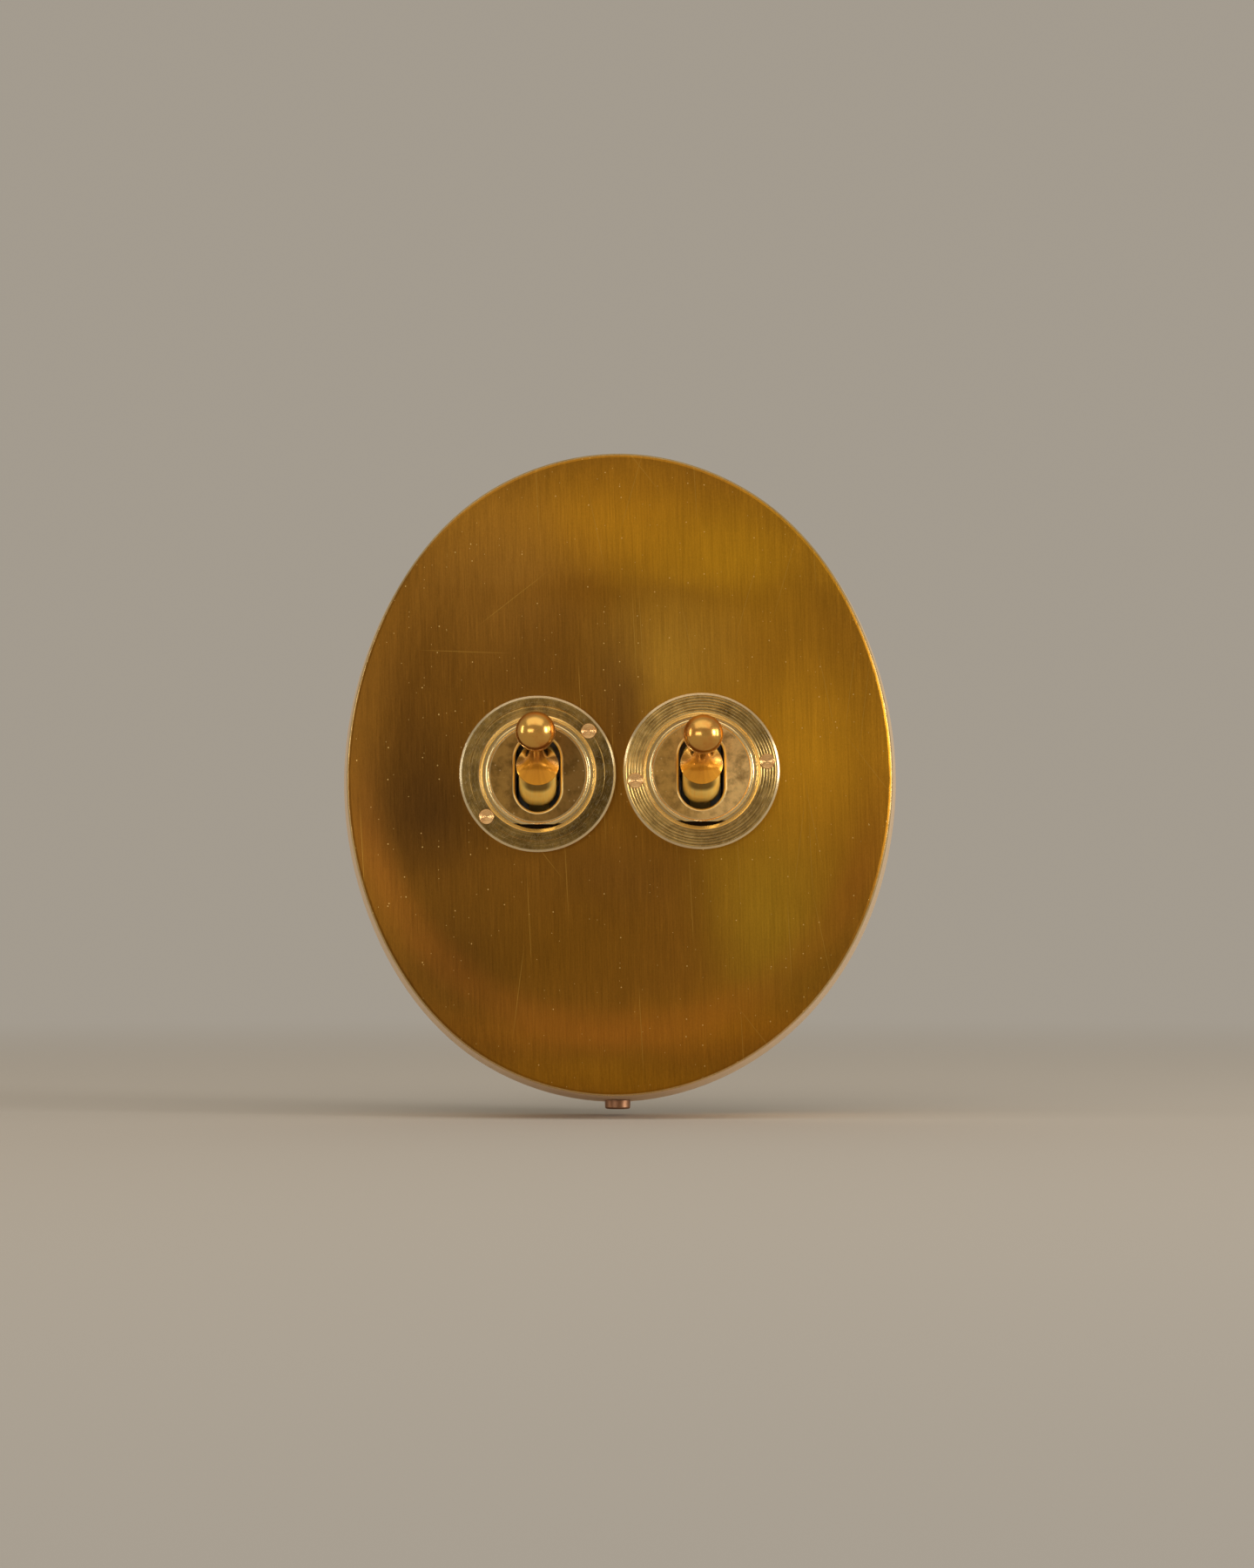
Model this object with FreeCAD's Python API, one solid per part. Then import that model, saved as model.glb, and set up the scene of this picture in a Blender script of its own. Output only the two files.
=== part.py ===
import FreeCAD, Part
import math
import os

os.makedirs("parts", exist_ok=True)

V = FreeCAD.Vector
FRONT = V(0, -1, 0)
ACROSS = V(1, 0, 0)
UP = V(0, 0, 1)

# All sizes are in millimetres and degrees.
# The wall is the plane y = 0, the switch faces -Y, and +Z is up.
# The origin lies on the wall, half way between the two switches.

# Egg shaped cover
half_width = 65.9
half_height = 77.6
outline_trim = (-0.4, -0.3, 0.6, 0.8, 1.3, 0.4, 0.4, 0.5, 0.7, -0.8, -0.9, -0.4)
outline_sections = 24
cover_offset_x = 0.45
cover_offset_z = -1.0
cover_depth = 28.0
cover_wall = 1.8
wall_flare = 2.7
shoulder_width = 11.0
shoulder_drop = 1.0
shoulder_sections = 3
corner_radius = 1.2

# Dial cap
slot_width = 10.9
slot_length = 18.2
slot_end_wall = 3.7
slot_edge_radius = 0.8
cap_radius = slot_length / 2 + slot_end_wall
cap_flange_thickness = 0.9
cap_recess = 0.6
cap_plate = 1.6
cap_bead_width = 1.1
cap_bead_height = 0.35
cap_bead_roundness = 0.7
cap_flat_depth = 0.7

# Bezel ring
cap_gap = 0.45
ring_bore_radius = cap_radius + cap_gap
ring_width = 5.55
ring_radius = ring_bore_radius + ring_width
cap_flange_width = 0.65
cap_flange_radius = ring_bore_radius + cap_flange_width
ring_spacing = 1.8
ring_height = 3.0
ring_outer_chamfer = 0.5
ring_bore_chamfer = 0.9
ring_groove_pitch = {"left": 4.1, "right": 0.69}
ring_groove_half_width = 0.18
ring_groove_depth = 0.1

# Places of the two switches
switch_pitch = 2 * ring_radius + ring_spacing
right_switch_lift = 0.7
lever_up_tilt = {"left": 20.2, "right": 17.0}
lever_down_tilt = 20.0

# Bezel rivets
rivet_angle = {"left": 40.0, "right": 8.3}
rivet_circle = ring_radius - ring_width / 2
rivet_head_radius = ring_width / 3
rivet_radius = 0.54 * rivet_head_radius
rivet_proud = 0.12
rivet_dish = 0.14
rivet_tail_radius = 1.7 * rivet_radius
rivet_tail_height = 0.8

# Lever
pivot_depth = 3.6
lever_length = 26.5
knob_radius = 4.7
neck_radius = 1.65
neck_sharpness = 4.5
neck_sections = 6
rim_radius = 5.1
rim_height = 5.8
rim_land = 0.3
rim_undercut = 0.4
root_radius = 3.2
drum_radius = 7.55
drum_half_width = 4.5
drum_flat_half = 0.6
drum_edge_radius = drum_half_width - drum_flat_half
tail_radius = 2.3
tail_length = 9.2
tail_chamfer = 0.35

# Pivot pin, plunger and spring
pin_radius = 1.25
pin_end_gap = 0.3
running_clearance = 0.05
plunger_radius = 1.5
plunger_reach = 10.4
plunger_length = 3.0
spring_length = 2.8
spring_wire = 0.4
spring_turns = 3.5

# Switch body
body_radius = cap_radius
body_flange_inset = 0.4
body_flange_radius = ring_radius - body_flange_inset
body_flange_thickness = 3.0
body_nose_step = 2.0
body_nose_radius = body_radius - body_nose_step
body_room_behind_rocker = 2.1
cavity_width = 10.4
cavity_end_wall = 2.5
cavity_length = 2 * (body_radius - cavity_end_wall)
seat_gap = 0.1
hole_clearance = 0.2

# Rocker
rocker_pivot_below = 12.7
rocker_ratio = 0.5
rocker_gap = 0.12
rocker_strip = 1.0
rocker_width = 4.4
rocker_end_gap = 1.9
rocker_wing_end = cavity_length / 2 - rocker_end_gap
rocker_wing = 3.2
rocker_wing_root = 0.3
rocker_trough_half = rocker_wing_end - rocker_wing
rocker_hub_half = 1.4
trunnion_radius = 0.9
contact_radius = 1.0
contact_height = 0.8
contact_place = rocker_wing_end - contact_radius
contact_gap = 0.05

# Contact base, terminals and their screws
base_thickness = 7.0
base_floor = 1.0
terminal_angles = (0, 90, 180)
terminal_width = 5.0
terminal_inner = contact_place - 0.9 * contact_radius
terminal_outer_wall = 0.8
terminal_outer = body_radius - terminal_outer_wall
finger_depth = 2.2
finger_width = 4.0
pocket_clearance = 0.1
wire_hole_radius = 1.2
wire_hole_inset = 2.1
wire_hole_place = terminal_inner + wire_hole_inset
post_thickness = 1.2
post_inner = 2.6
post_half = 2.2
post_strip = 1.0
post_strip_root = 0.5
post_above_trunnion = 1.8
terminal_screw_radius = 1.25
terminal_screw_bite = 0.2
terminal_screw_proud = 0.4
terminal_screw_slot = 0.5
terminal_screw_slot_depth = 0.7
base_screw_radius = 1.1
base_screw_head_radius = 2.0
base_screw_length = 12.0
base_screw_inset = 3.0
base_screw_circle = body_radius - base_screw_inset
base_screw_angle = 40.0
base_screw_slot = 0.6
base_screw_slot_depth = 0.6

# Back plate
back_thickness = 1.5
back_clearance = 1.0
fixing_spacing = 60.3
fixing_hole_radius = 2.1
cable_hole_radius = 10.0
cable_hole_below = 34.0
tab_width = 14.0
tab_thickness = 1.8
tab_reach = 12.0
tab_bend_radius = 0.8
tab_wall_gap = 0.8
strip_root = 6.0
strip_relief = 1.5
strip_relief_depth = 4.0
hook_width = 16.0
hook_reach = 11.5
hook_lip = 3.2
hook_gap = 0.3
lug_width = 12.0
lug_depth = 3.0
lug_height = 3.5

# Cover screw and earth terminal
cover_screw_x = -0.5
cover_screw_from_wall = 6.5
cover_screw_radius = 1.75
cover_screw_length = 7.0
cover_screw_head_radius = 3.15
cover_screw_head_height = 2.2
cover_screw_edge_radius = 0.5
cover_screw_slot = 1.0
cover_screw_slot_depth = 1.0
cover_screw_hole_clearance = 0.25
cover_screw_spotface = 5.0
earth_above = 44.0
earth_radius = 4.0
earth_height = 9.0
earth_wire_radius = 1.6
earth_wire_height = 4.0
earth_screw_radius = 1.75
earth_screw_head_radius = 3.0
earth_screw_head_height = 1.6
earth_screw_slot = 0.8
earth_screw_slot_depth = 0.8

# How far a cutting tool runs past the faces it cuts, and how close two places count as one
overrun = 1.0
same_place = 0.01

# Places along the depth, worked out from the sizes above
face_y = -cover_depth
rim_y = -(cover_depth - shoulder_drop)
cover_back_y = face_y + cover_wall
ring_face_y = face_y - ring_height
cap_face_y = ring_face_y + cap_recess
pivot_y = cap_face_y + pivot_depth
rocker_y = pivot_y + rocker_pivot_below
body_end = -(rocker_y + body_room_behind_rocker)
base_back = body_end - base_thickness
knob_seat = lever_length - math.sqrt(knob_radius ** 2 - neck_radius ** 2)


def cylinder(radius, length, base, direction):
    """A round bar from base along direction."""
    return Part.makeCylinder(radius, length, base, direction)


def block(x0, x1, y0, y1, z0, z1):
    """A box between two corners."""
    return Part.makeBox(x1 - x0, y1 - y0, z1 - z0, V(x0, y0, z0))


def revolve(edges):
    """A solid turned about the Y axis from a closed profile in the XY plane."""
    return Part.Face(Part.Wire(edges)).revolve(V(0, 0, 0), V(0, 1, 0), 360)


def polygon_edges(points):
    """Straight edges through points, closed back to the first."""
    return Part.makePolygon(points + [points[0]]).Edges


def turned(points):
    """A turned solid from (radius, y) points."""
    return revolve(polygon_edges([V(radius, y, 0) for radius, y in points]))


def stadium(width, length, y0, y1):
    """An upright slot shape with round ends, between two depths."""
    radius = width / 2
    half = length / 2 - radius
    middle = block(-radius, radius, y0, y1, -half, half)
    top = cylinder(radius, y1 - y0, V(0, y0, half), V(0, 1, 0))
    bottom = cylinder(radius, y1 - y0, V(0, y0, -half), V(0, 1, 0))
    return middle.fuse([top, bottom]).removeSplitter()


def outline_curve():
    """The cover's front outline: an ellipse trimmed by hand at twelve clock positions."""
    points = []
    for index, trim in enumerate(outline_trim):
        angle = 2 * math.pi * index / len(outline_trim)
        across = half_height * math.cos(angle)
        upward = half_width * math.sin(angle)
        radius = half_width * half_height / math.hypot(across, upward) + trim
        x = cover_offset_x + radius * math.cos(angle)
        z = cover_offset_z + radius * math.sin(angle)
        points.append(V(x, 0, z))
    curve = Part.BSplineCurve()
    curve.interpolate(Points=points, PeriodicFlag=True)
    return curve


def outline_wire(offset, y):
    """The outline moved outward by offset, at depth y."""
    curve = outline_curve()
    span = curve.LastParameter - curve.FirstParameter
    points = []
    for index in range(outline_sections):
        parameter = curve.FirstParameter + span * index / outline_sections
        point = curve.value(parameter)
        tangent = curve.tangent(parameter)[0]
        points.append(V(point.x + offset * tangent.z, y, point.z - offset * tangent.x))
    ring = Part.BSplineCurve()
    ring.interpolate(Points=points, PeriodicFlag=True)
    middle = (ring.FirstParameter + ring.LastParameter) / 2
    upper = ring.toShape(ring.FirstParameter, middle)
    return Part.Wire([upper, ring.toShape(middle, ring.LastParameter)])


def outline_reach(direction, offset):
    """How far the outline reaches up (1) or down (-1) from the origin's height, moved out by offset."""
    box = outline_wire(offset, 0).BoundBox
    return box.ZMax if direction > 0 else box.ZMin


def flare_at(depth):
    """How far the side wall stands outside the front outline, at a depth from the wall."""
    return wall_flare * (1 - depth / (cover_depth - shoulder_drop))


def tray(inset):
    """The cover's form, or with an inset the hollow inside it."""
    back = outline_wire(wall_flare - inset, 0)
    rim = outline_wire(-inset, rim_y + inset)
    side = Part.makeLoft([back, rim], True, True)
    shoulder = []
    for step in range(shoulder_sections + 1):
        share = step / shoulder_sections
        offset = -inset - (shoulder_width - inset) * share
        y = face_y + inset + shoulder_drop * (1 - share) ** 2
        shoulder.append(outline_wire(offset, y))
    dome = Part.makeLoft(shoulder, True, False)
    return side.fuse(dome)


def rim_edges(shape):
    """The edges of the corner between the side wall and the shoulder."""
    found = []
    for edge in shape.Edges:
        box = edge.BoundBox
        level = abs(box.YMin - rim_y) < same_place and abs(box.YMax - rim_y) < same_place
        if level and box.XLength > half_width:
            found.append(edge)
    return found


def switch_centre(side):
    """Where a switch's axis meets the wall plane."""
    sign = -1 if side == "left" else 1
    return V(sign * switch_pitch / 2, 0, sign * right_switch_lift / 2)


def rivet_places(side):
    """The two rivet places of a bezel ring, from its centre, on opposite sides."""
    angle = math.radians(rivet_angle[side])
    place = V(rivet_circle * math.cos(angle), 0, rivet_circle * math.sin(angle))
    return [place, -place]


def cover():
    """The brass cover: flared side wall, soft shoulder, and holes for both switches."""
    outer = tray(0.0)
    outer = outer.makeFillet(corner_radius, rim_edges(outer))
    shell = outer.cut(tray(cover_wall))
    shell = shell.fuse(cover_lug())
    through = cover_wall + 2 * overrun
    tools = []
    for side in ("left", "right"):
        centre = switch_centre(side)
        start = centre + V(0, face_y - overrun, 0)
        tools.append(cylinder(body_radius + hole_clearance, through, start, V(0, 1, 0)))
        for place in rivet_places(side):
            radius = rivet_radius + seat_gap
            tools.append(cylinder(radius, through, start + place, V(0, 1, 0)))
    seat_z = cover_screw_seat()
    hole = cover_screw_radius + cover_screw_hole_clearance
    under = V(cover_screw_x, -cover_screw_from_wall, seat_z - cover_screw_spotface)
    tools.append(cylinder(hole, cover_screw_spotface + 2 * cover_wall, under, UP))
    tools.append(cylinder(cover_screw_head_radius + hole_clearance, cover_screw_spotface, under, UP))
    return shell.cut(tools)


def cover_lug():
    """The lug inside the top of the cover, which sits behind the back plate's hook."""
    back_y = -(hook_reach - back_thickness - hook_gap - lug_depth)
    front_y = back_y - lug_depth
    ceiling = outline_reach(1, flare_at(-back_y) - cover_wall)
    half = lug_width / 2
    return block(-half, half, front_y, back_y, ceiling - lug_height, ceiling + cover_wall / 3)


def cover_screw_seat():
    """The height of the flat under the cover screw's head."""
    front_edge = cover_screw_from_wall + cover_screw_head_radius
    return outline_reach(-1, flare_at(front_edge))


def cover_screw():
    """The slotted cheese head screw in the bottom of the cover."""
    seat = V(cover_screw_x, -cover_screw_from_wall, cover_screw_seat())
    head = cylinder(cover_screw_head_radius, cover_screw_head_height, seat, -UP)
    rim = [edge for edge in head.Edges if edge.Closed and edge.BoundBox.ZMax < seat.z - same_place]
    head = head.makeFillet(cover_screw_edge_radius, rim)
    shank = cylinder(cover_screw_radius, cover_screw_length, seat, UP)
    floor = seat.z - cover_screw_head_height
    reach = cover_screw_head_radius + overrun
    half = cover_screw_slot / 2
    top = floor + cover_screw_slot_depth
    slot = block(seat.x - reach, seat.x + reach, seat.y - half, seat.y + half, floor - overrun, top)
    return head.fuse(shank).cut(slot)


def bent_strip(points, width):
    """A bent sheet strip from its side outline in (y, z), with its bends rounded."""
    face = Part.Face(Part.makePolygon([V(-width / 2, y, z) for y, z in points + [points[0]]]))
    return face.extrude(V(width, 0, 0))


def round_bends(strip, corners):
    """Rounds the bends of a strip: corners are ((y, z), radius)."""
    for (y, z), radius in corners:
        edges = []
        for edge in strip.Edges:
            middle = edge.CenterOfMass
            along = edge.BoundBox.XLength > 0.9 * strip.BoundBox.XLength
            if along and math.hypot(middle.y - y, middle.z - z) < same_place:
                edges.append(edge)
        strip = strip.makeFillet(radius, edges)
    return strip


def bottom_tab():
    """The tab bent forward at the bottom of the back plate, tapped for the cover screw."""
    depth = cover_screw_from_wall
    low = outline_reach(-1, flare_at(depth) - cover_wall) + tab_wall_gap
    high = low + tab_thickness
    root = high + strip_root
    points = [(0, root), (0, low), (-tab_reach, low), (-tab_reach, high), (-back_thickness, high)]
    points.append((-back_thickness, root))
    strip = bent_strip(points, tab_width)
    outside = ((0, low), tab_bend_radius + tab_thickness)
    inside = ((-back_thickness, high), tab_bend_radius)
    return round_bends(strip, [outside, inside])


def top_hook():
    """The hook bent forward and up at the top of the back plate."""
    lug_back = hook_reach - back_thickness - hook_gap - lug_depth
    under_lug = outline_reach(1, flare_at(lug_back) - cover_wall) - lug_height - hook_gap
    low = under_lug - back_thickness
    root = low - strip_root
    inner = hook_reach - back_thickness
    points = [(0, root), (0, under_lug), (-inner, under_lug), (-inner, under_lug + hook_lip)]
    points += [(-hook_reach, under_lug + hook_lip), (-hook_reach, low), (-back_thickness, low)]
    points.append((-back_thickness, root))
    strip = bent_strip(points, hook_width)
    bends = [((0, under_lug), tab_bend_radius + back_thickness), ((-back_thickness, low), tab_bend_radius)]
    bends.append(((-hook_reach, low), tab_bend_radius + back_thickness))
    return round_bends(strip, bends)


def back_plate():
    """The steel plate on the wall: fixing holes, cable hole, bottom tab and top hook."""
    plate = Part.Face(outline_wire(wall_flare - cover_wall - back_clearance, 0))
    plate = plate.extrude(V(0, -back_thickness, 0))
    tab = bottom_tab()
    hook = top_hook()
    front = -back_thickness - overrun
    box = plate.BoundBox
    half = tab_width / 2 + strip_relief
    above_tab = tab.BoundBox.ZMin + tab_thickness + strip_relief_depth
    reliefs = [block(-half, half, front, overrun, box.ZMin - overrun, above_tab)]
    half = hook_width / 2 + strip_relief
    under_hook = hook.BoundBox.ZMax - hook_lip - back_thickness - strip_relief_depth
    reliefs.append(block(-half, half, front, overrun, under_hook, box.ZMax + overrun))
    plate = plate.cut(reliefs).fuse([tab, hook]).removeSplitter()
    through = back_thickness + 2 * overrun
    tools = []
    for sign in (-1, 1):
        place = V(sign * fixing_spacing / 2, front, 0)
        tools.append(cylinder(fixing_hole_radius, through, place, V(0, 1, 0)))
    tools.append(cylinder(cable_hole_radius, through, V(0, front, -cable_hole_below), V(0, 1, 0)))
    tapped = V(cover_screw_x, -cover_screw_from_wall, cover_screw_seat())
    tools.append(cylinder(cover_screw_radius, cover_screw_length + tab_thickness, tapped, UP))
    return plate.cut(tools)


def earth_pillar():
    """The earth terminal pillar on the back plate."""
    base = V(0, -back_thickness, earth_above)
    pillar = cylinder(earth_radius, earth_height, base, FRONT)
    wire = V(-earth_radius - overrun, -back_thickness - earth_wire_height, earth_above)
    tapped = cylinder(earth_screw_radius, earth_height, base + FRONT * earth_wire_height, FRONT)
    length = 2 * (earth_radius + overrun)
    return pillar.cut([cylinder(earth_wire_radius, length, wire, ACROSS), tapped])


def earth_screw():
    """The slotted screw in the earth pillar."""
    seat = V(0, -back_thickness - earth_height, earth_above)
    head = cylinder(earth_screw_head_radius, earth_screw_head_height, seat, FRONT)
    shank_length = earth_height - earth_wire_height - earth_wire_radius
    shank = cylinder(earth_screw_radius, shank_length, seat, V(0, 1, 0))
    top = seat.y - earth_screw_head_height
    reach = earth_screw_head_radius + overrun
    half = earth_screw_slot / 2
    floor = top + earth_screw_slot_depth
    slot = block(-reach, reach, top - overrun, floor, earth_above - half, earth_above + half)
    return head.fuse(shank).cut(slot)


def bezel_ring(side):
    """The turned ring round a switch, with its grooves and countersunk holes."""
    outer = ring_radius
    bore = ring_bore_radius
    pocket = cap_flange_radius + hole_clearance
    pocket_y = face_y - cap_flange_thickness - seat_gap
    points = [(pocket, face_y), (outer, face_y), (outer, ring_face_y + ring_outer_chamfer)]
    points += [(outer - ring_outer_chamfer, ring_face_y)]
    inner_edge = bore + ring_bore_chamfer
    land = outer - ring_outer_chamfer - inner_edge
    groove_count = int(land / ring_groove_pitch[side])
    for index in range(groove_count):
        centre = outer - ring_outer_chamfer - land * (index + 0.5) / groove_count
        points.append((centre + ring_groove_half_width, ring_face_y))
        points.append((centre, ring_face_y + ring_groove_depth))
        points.append((centre - ring_groove_half_width, ring_face_y))
    points += [(inner_edge, ring_face_y), (bore, ring_face_y + ring_bore_chamfer)]
    points += [(bore, pocket_y), (pocket, pocket_y)]
    ring = turned(points)
    tools = []
    for place in rivet_places(side):
        start = place + V(0, ring_face_y, 0)
        sink = rivet_head_radius - rivet_radius
        cone = Part.makeCone(rivet_head_radius, rivet_radius, sink, start, V(0, 1, 0))
        tools += [cone, cylinder(rivet_radius + seat_gap, ring_height + overrun, start, V(0, 1, 0))]
    return ring.cut(tools)


def bezel_rivets(side):
    """The two rivets of a bezel ring: turned dished heads, countersunk, with tails formed behind."""
    sink = rivet_head_radius - rivet_radius
    tail_y = cover_back_y + body_flange_thickness
    proud_y = ring_face_y - rivet_proud
    points = [(0, proud_y + rivet_dish), (rivet_head_radius - rivet_proud, proud_y)]
    points += [(rivet_head_radius, ring_face_y), (rivet_radius, ring_face_y + sink), (rivet_radius, tail_y)]
    tail_end = tail_y + rivet_tail_height
    points += [(rivet_tail_radius, tail_y), (rivet_radius, tail_end), (0, tail_end)]
    rivets = []
    for place in rivet_places(side):
        rivet = turned(points)
        rivet.translate(place)
        rivets.append(rivet)
    return Part.makeCompound(rivets)


def dial_cap():
    """The slotted cap: trapped flange, raised bead and a rolled slot edge."""
    flange_y = face_y - cap_flange_thickness
    bead_y = cap_face_y - cap_bead_height
    inner = cap_radius - cap_bead_width
    quarter = cap_bead_width / 2
    under_y = cap_face_y + cap_plate
    hollow = body_nose_radius + 2 * hole_clearance
    corner = quarter * (1 - math.sqrt(0.5))
    outside = V(cap_radius, bead_y + quarter, 0)
    crest = V(cap_radius - quarter, bead_y, 0)
    bead = Part.Arc(outside, V(cap_radius - corner, bead_y + corner, 0), crest)
    turn = V(inner + corner, bead_y + corner * cap_bead_roundness, 0)
    fall = Part.Arc(crest, turn, V(inner, cap_face_y, 0))
    points = [V(inner, cap_face_y, 0), V(0, cap_face_y, 0), V(0, under_y, 0), V(hollow, under_y, 0)]
    points += [V(hollow, face_y, 0), V(cap_flange_radius, face_y, 0), V(cap_flange_radius, flange_y, 0)]
    points += [V(cap_radius, flange_y, 0), outside]
    edges = [bead.toShape(), fall.toShape()] + Part.makePolygon(points).Edges
    cap = revolve(edges)
    above = bead_y - overrun
    flat_z = cap_flat_depth - cap_radius
    flat = block(-cap_radius, cap_radius, above, flange_y, -cap_radius - overrun, flat_z)
    cap = cap.cut([stadium(slot_width, slot_length, above, face_y + overrun), flat])
    lip = []
    for edge in cap.Edges:
        box = edge.BoundBox
        level = abs(box.YMin - cap_face_y) < same_place and abs(box.YMax - cap_face_y) < same_place
        inside = max(box.XMax, -box.XMin) < slot_width / 2 + same_place
        if level and inside and box.ZLength > same_place:
            lip.append(edge)
    return cap.makeFillet(slot_edge_radius, lip)


def lever_point(radius, reach):
    """A point of the lever's profile, reach in front of the pivot."""
    return V(radius, -reach, 0)


def trumpet():
    """The neck's curve from under the knob to the rim, slim first and then opening fast."""
    points = []
    for step in range(neck_sections + 1):
        share = step / neck_sections
        radius = neck_radius + (rim_radius - neck_radius) * share ** neck_sharpness
        points.append(lever_point(radius, knob_seat + (rim_height - knob_seat) * share))
    curve = Part.BSplineCurve()
    curve.interpolate(Points=points)
    return curve.toShape()


def drum():
    """The rounded drum that fills the slot and turns on the pin."""
    shoulder = drum_half_width - drum_edge_radius
    bend = drum_edge_radius * (1 - math.sqrt(0.5))
    straight = drum_radius - drum_edge_radius
    edges = []
    for sign in (-1, 1):
        low = V(sign * drum_half_width, -straight, 0)
        middle = V(sign * (drum_half_width - bend), -drum_radius + bend, 0)
        crest = V(sign * shoulder, -drum_radius, 0)
        edges.append(Part.Arc(low, middle, crest).toShape())
        edges.append(Part.LineSegment(V(sign * drum_half_width, 0, 0), low).toShape())
    edges.append(Part.LineSegment(V(-shoulder, -drum_radius, 0), V(shoulder, -drum_radius, 0)).toShape())
    edges.append(Part.LineSegment(V(-drum_half_width, 0, 0), V(drum_half_width, 0, 0)).toShape())
    profile = Part.Face(Part.Wire(Part.__sortEdges__(edges)))
    return profile.revolve(V(0, 0, 0), ACROSS, 360)


def lever(side):
    """The dolly: knob, trumpet neck, rim, drum and bored tail, in one piece."""
    at = lever_point
    knob_top = at(0, lever_length + knob_radius)
    knob = Part.Arc(knob_top, at(knob_radius, lever_length), at(neck_radius, knob_seat))
    under = [at(rim_radius, rim_height), at(rim_radius, rim_height - rim_land)]
    under += [at(root_radius, rim_height - rim_land - rim_undercut), at(root_radius, 0), at(0, 0), knob_top]
    upper = revolve([knob.toShape(), trumpet()] + Part.makePolygon(under).Edges)
    tail_end = tail_length - tail_chamfer
    points = [(0, 0), (tail_radius, 0), (tail_radius, tail_end)]
    points += [(tail_radius - tail_chamfer, tail_length), (0, tail_length)]
    tail = turned(points)
    dolly = upper.fuse([drum(), tail])
    wide = drum_half_width + overrun
    pin_hole = cylinder(pin_radius + running_clearance, 2 * wide, V(-wide, 0, 0), ACROSS)
    bore_length = tail_length - plunger_reach + plunger_length + spring_length + overrun
    mouth = V(0, tail_length + overrun, 0)
    bore = cylinder(plunger_radius + running_clearance, bore_length, mouth, FRONT)
    return place_on_lever(dolly.cut([pin_hole, bore]), side)


def place_on_lever(shape, side):
    """Tilts a piece of the lever to its up position and sets it at the pivot."""
    shape.rotate(V(0, 0, 0), ACROSS, -lever_up_tilt[side])
    shape.translate(V(0, pivot_y, 0))
    return shape


def pivot_pin():
    """The plain steel pin that the lever turns on."""
    half = body_nose_radius - pin_end_gap
    return cylinder(pin_radius, 2 * half, V(-half, pivot_y, 0), ACROSS)


def plunger(side):
    """The insulating plunger with its round tip, in the lever's tail."""
    tip_centre = plunger_reach - plunger_radius
    start = plunger_reach - plunger_length
    shaft = cylinder(plunger_radius, tip_centre - start, V(0, start, 0), V(0, 1, 0))
    tip = Part.makeSphere(plunger_radius, V(0, tip_centre, 0))
    return place_on_lever(shaft.fuse(tip).removeSplitter(), side)


def plunger_spring(side):
    """The small compression spring behind the plunger."""
    wire_radius = spring_wire / 2
    coil_radius = plunger_radius - 1.5 * wire_radius - running_clearance
    free = spring_length - spring_wire
    helix = Part.makeHelix(free / spring_turns, free, coil_radius)
    circle = Part.Wire([Part.Circle(V(coil_radius, 0, 0), V(0, 1, 0), wire_radius).toShape()])
    coil = Part.Wire(helix.Edges).makePipeShell([circle], True, True)
    coil.rotate(V(0, 0, 0), ACROSS, -90)
    coil.translate(V(0, plunger_reach - plunger_length - spring_length + wire_radius, 0))
    return place_on_lever(coil, side)


def rocker_trough():
    """Radius of the rocker's trough and the height of its centre above the rocker's pivot."""
    tip_path = plunger_reach - plunger_radius
    lead = rocker_pivot_below / tip_path - 1
    bend = (2 * rocker_ratio + 1 - lead * rocker_ratio ** 2) / tip_path
    radius = 1 / bend + plunger_radius + rocker_gap
    centre = rocker_pivot_below - tip_path + 1 / bend
    return radius, centre


def rocker(side):
    """The contact rocker: a curved strip with wings, contact buttons and trunnions."""
    radius, centre = rocker_trough()
    half = rocker_width / 2
    axis = V(-half, -centre, 0)
    ring = cylinder(radius + rocker_strip, rocker_width, axis, ACROSS)
    ring = ring.cut(cylinder(radius, rocker_width, axis, ACROSS))
    low = centre - math.sqrt((radius + rocker_strip) ** 2 - rocker_trough_half ** 2)
    keep = block(-half, half, -centre, 0, -rocker_trough_half, rocker_trough_half)
    strip = ring.common(keep)
    pieces = []
    bottom = centre - radius - rocker_strip / 2
    pieces.append(block(-half, half, -bottom, 0, -rocker_hub_half, rocker_hub_half))
    trunnion_half = post_inner + post_thickness
    pieces.append(cylinder(trunnion_radius, 2 * trunnion_half, V(-trunnion_half, 0, 0), ACROSS))
    for sign in (-1, 1):
        z0, z1 = sorted((sign * (rocker_trough_half - rocker_wing_root), sign * rocker_wing_end))
        pieces.append(block(-half, half, -low - rocker_strip, -low, z0, z1))
        button = V(0, -low, sign * contact_place)
        pieces.append(cylinder(contact_radius, contact_height, button, V(0, 1, 0)))
    body = strip.fuse(pieces).removeSplitter()
    body.rotate(V(0, 0, 0), ACROSS, rocker_ratio * lever_up_tilt[side])
    body.translate(V(0, rocker_y, 0))
    return body


def contact_stop(tilt):
    """The y of a fixed contact's face, so that the button meets it with the rocker at its stop."""
    radius, centre = rocker_trough()
    low = centre - math.sqrt((radius + rocker_strip) ** 2 - rocker_trough_half ** 2)
    angle = math.radians(rocker_ratio * tilt)
    reach = low - contact_height
    nearest = reach * math.cos(angle) - (contact_place + contact_radius) * math.sin(angle)
    return rocker_y - nearest + contact_gap


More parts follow.
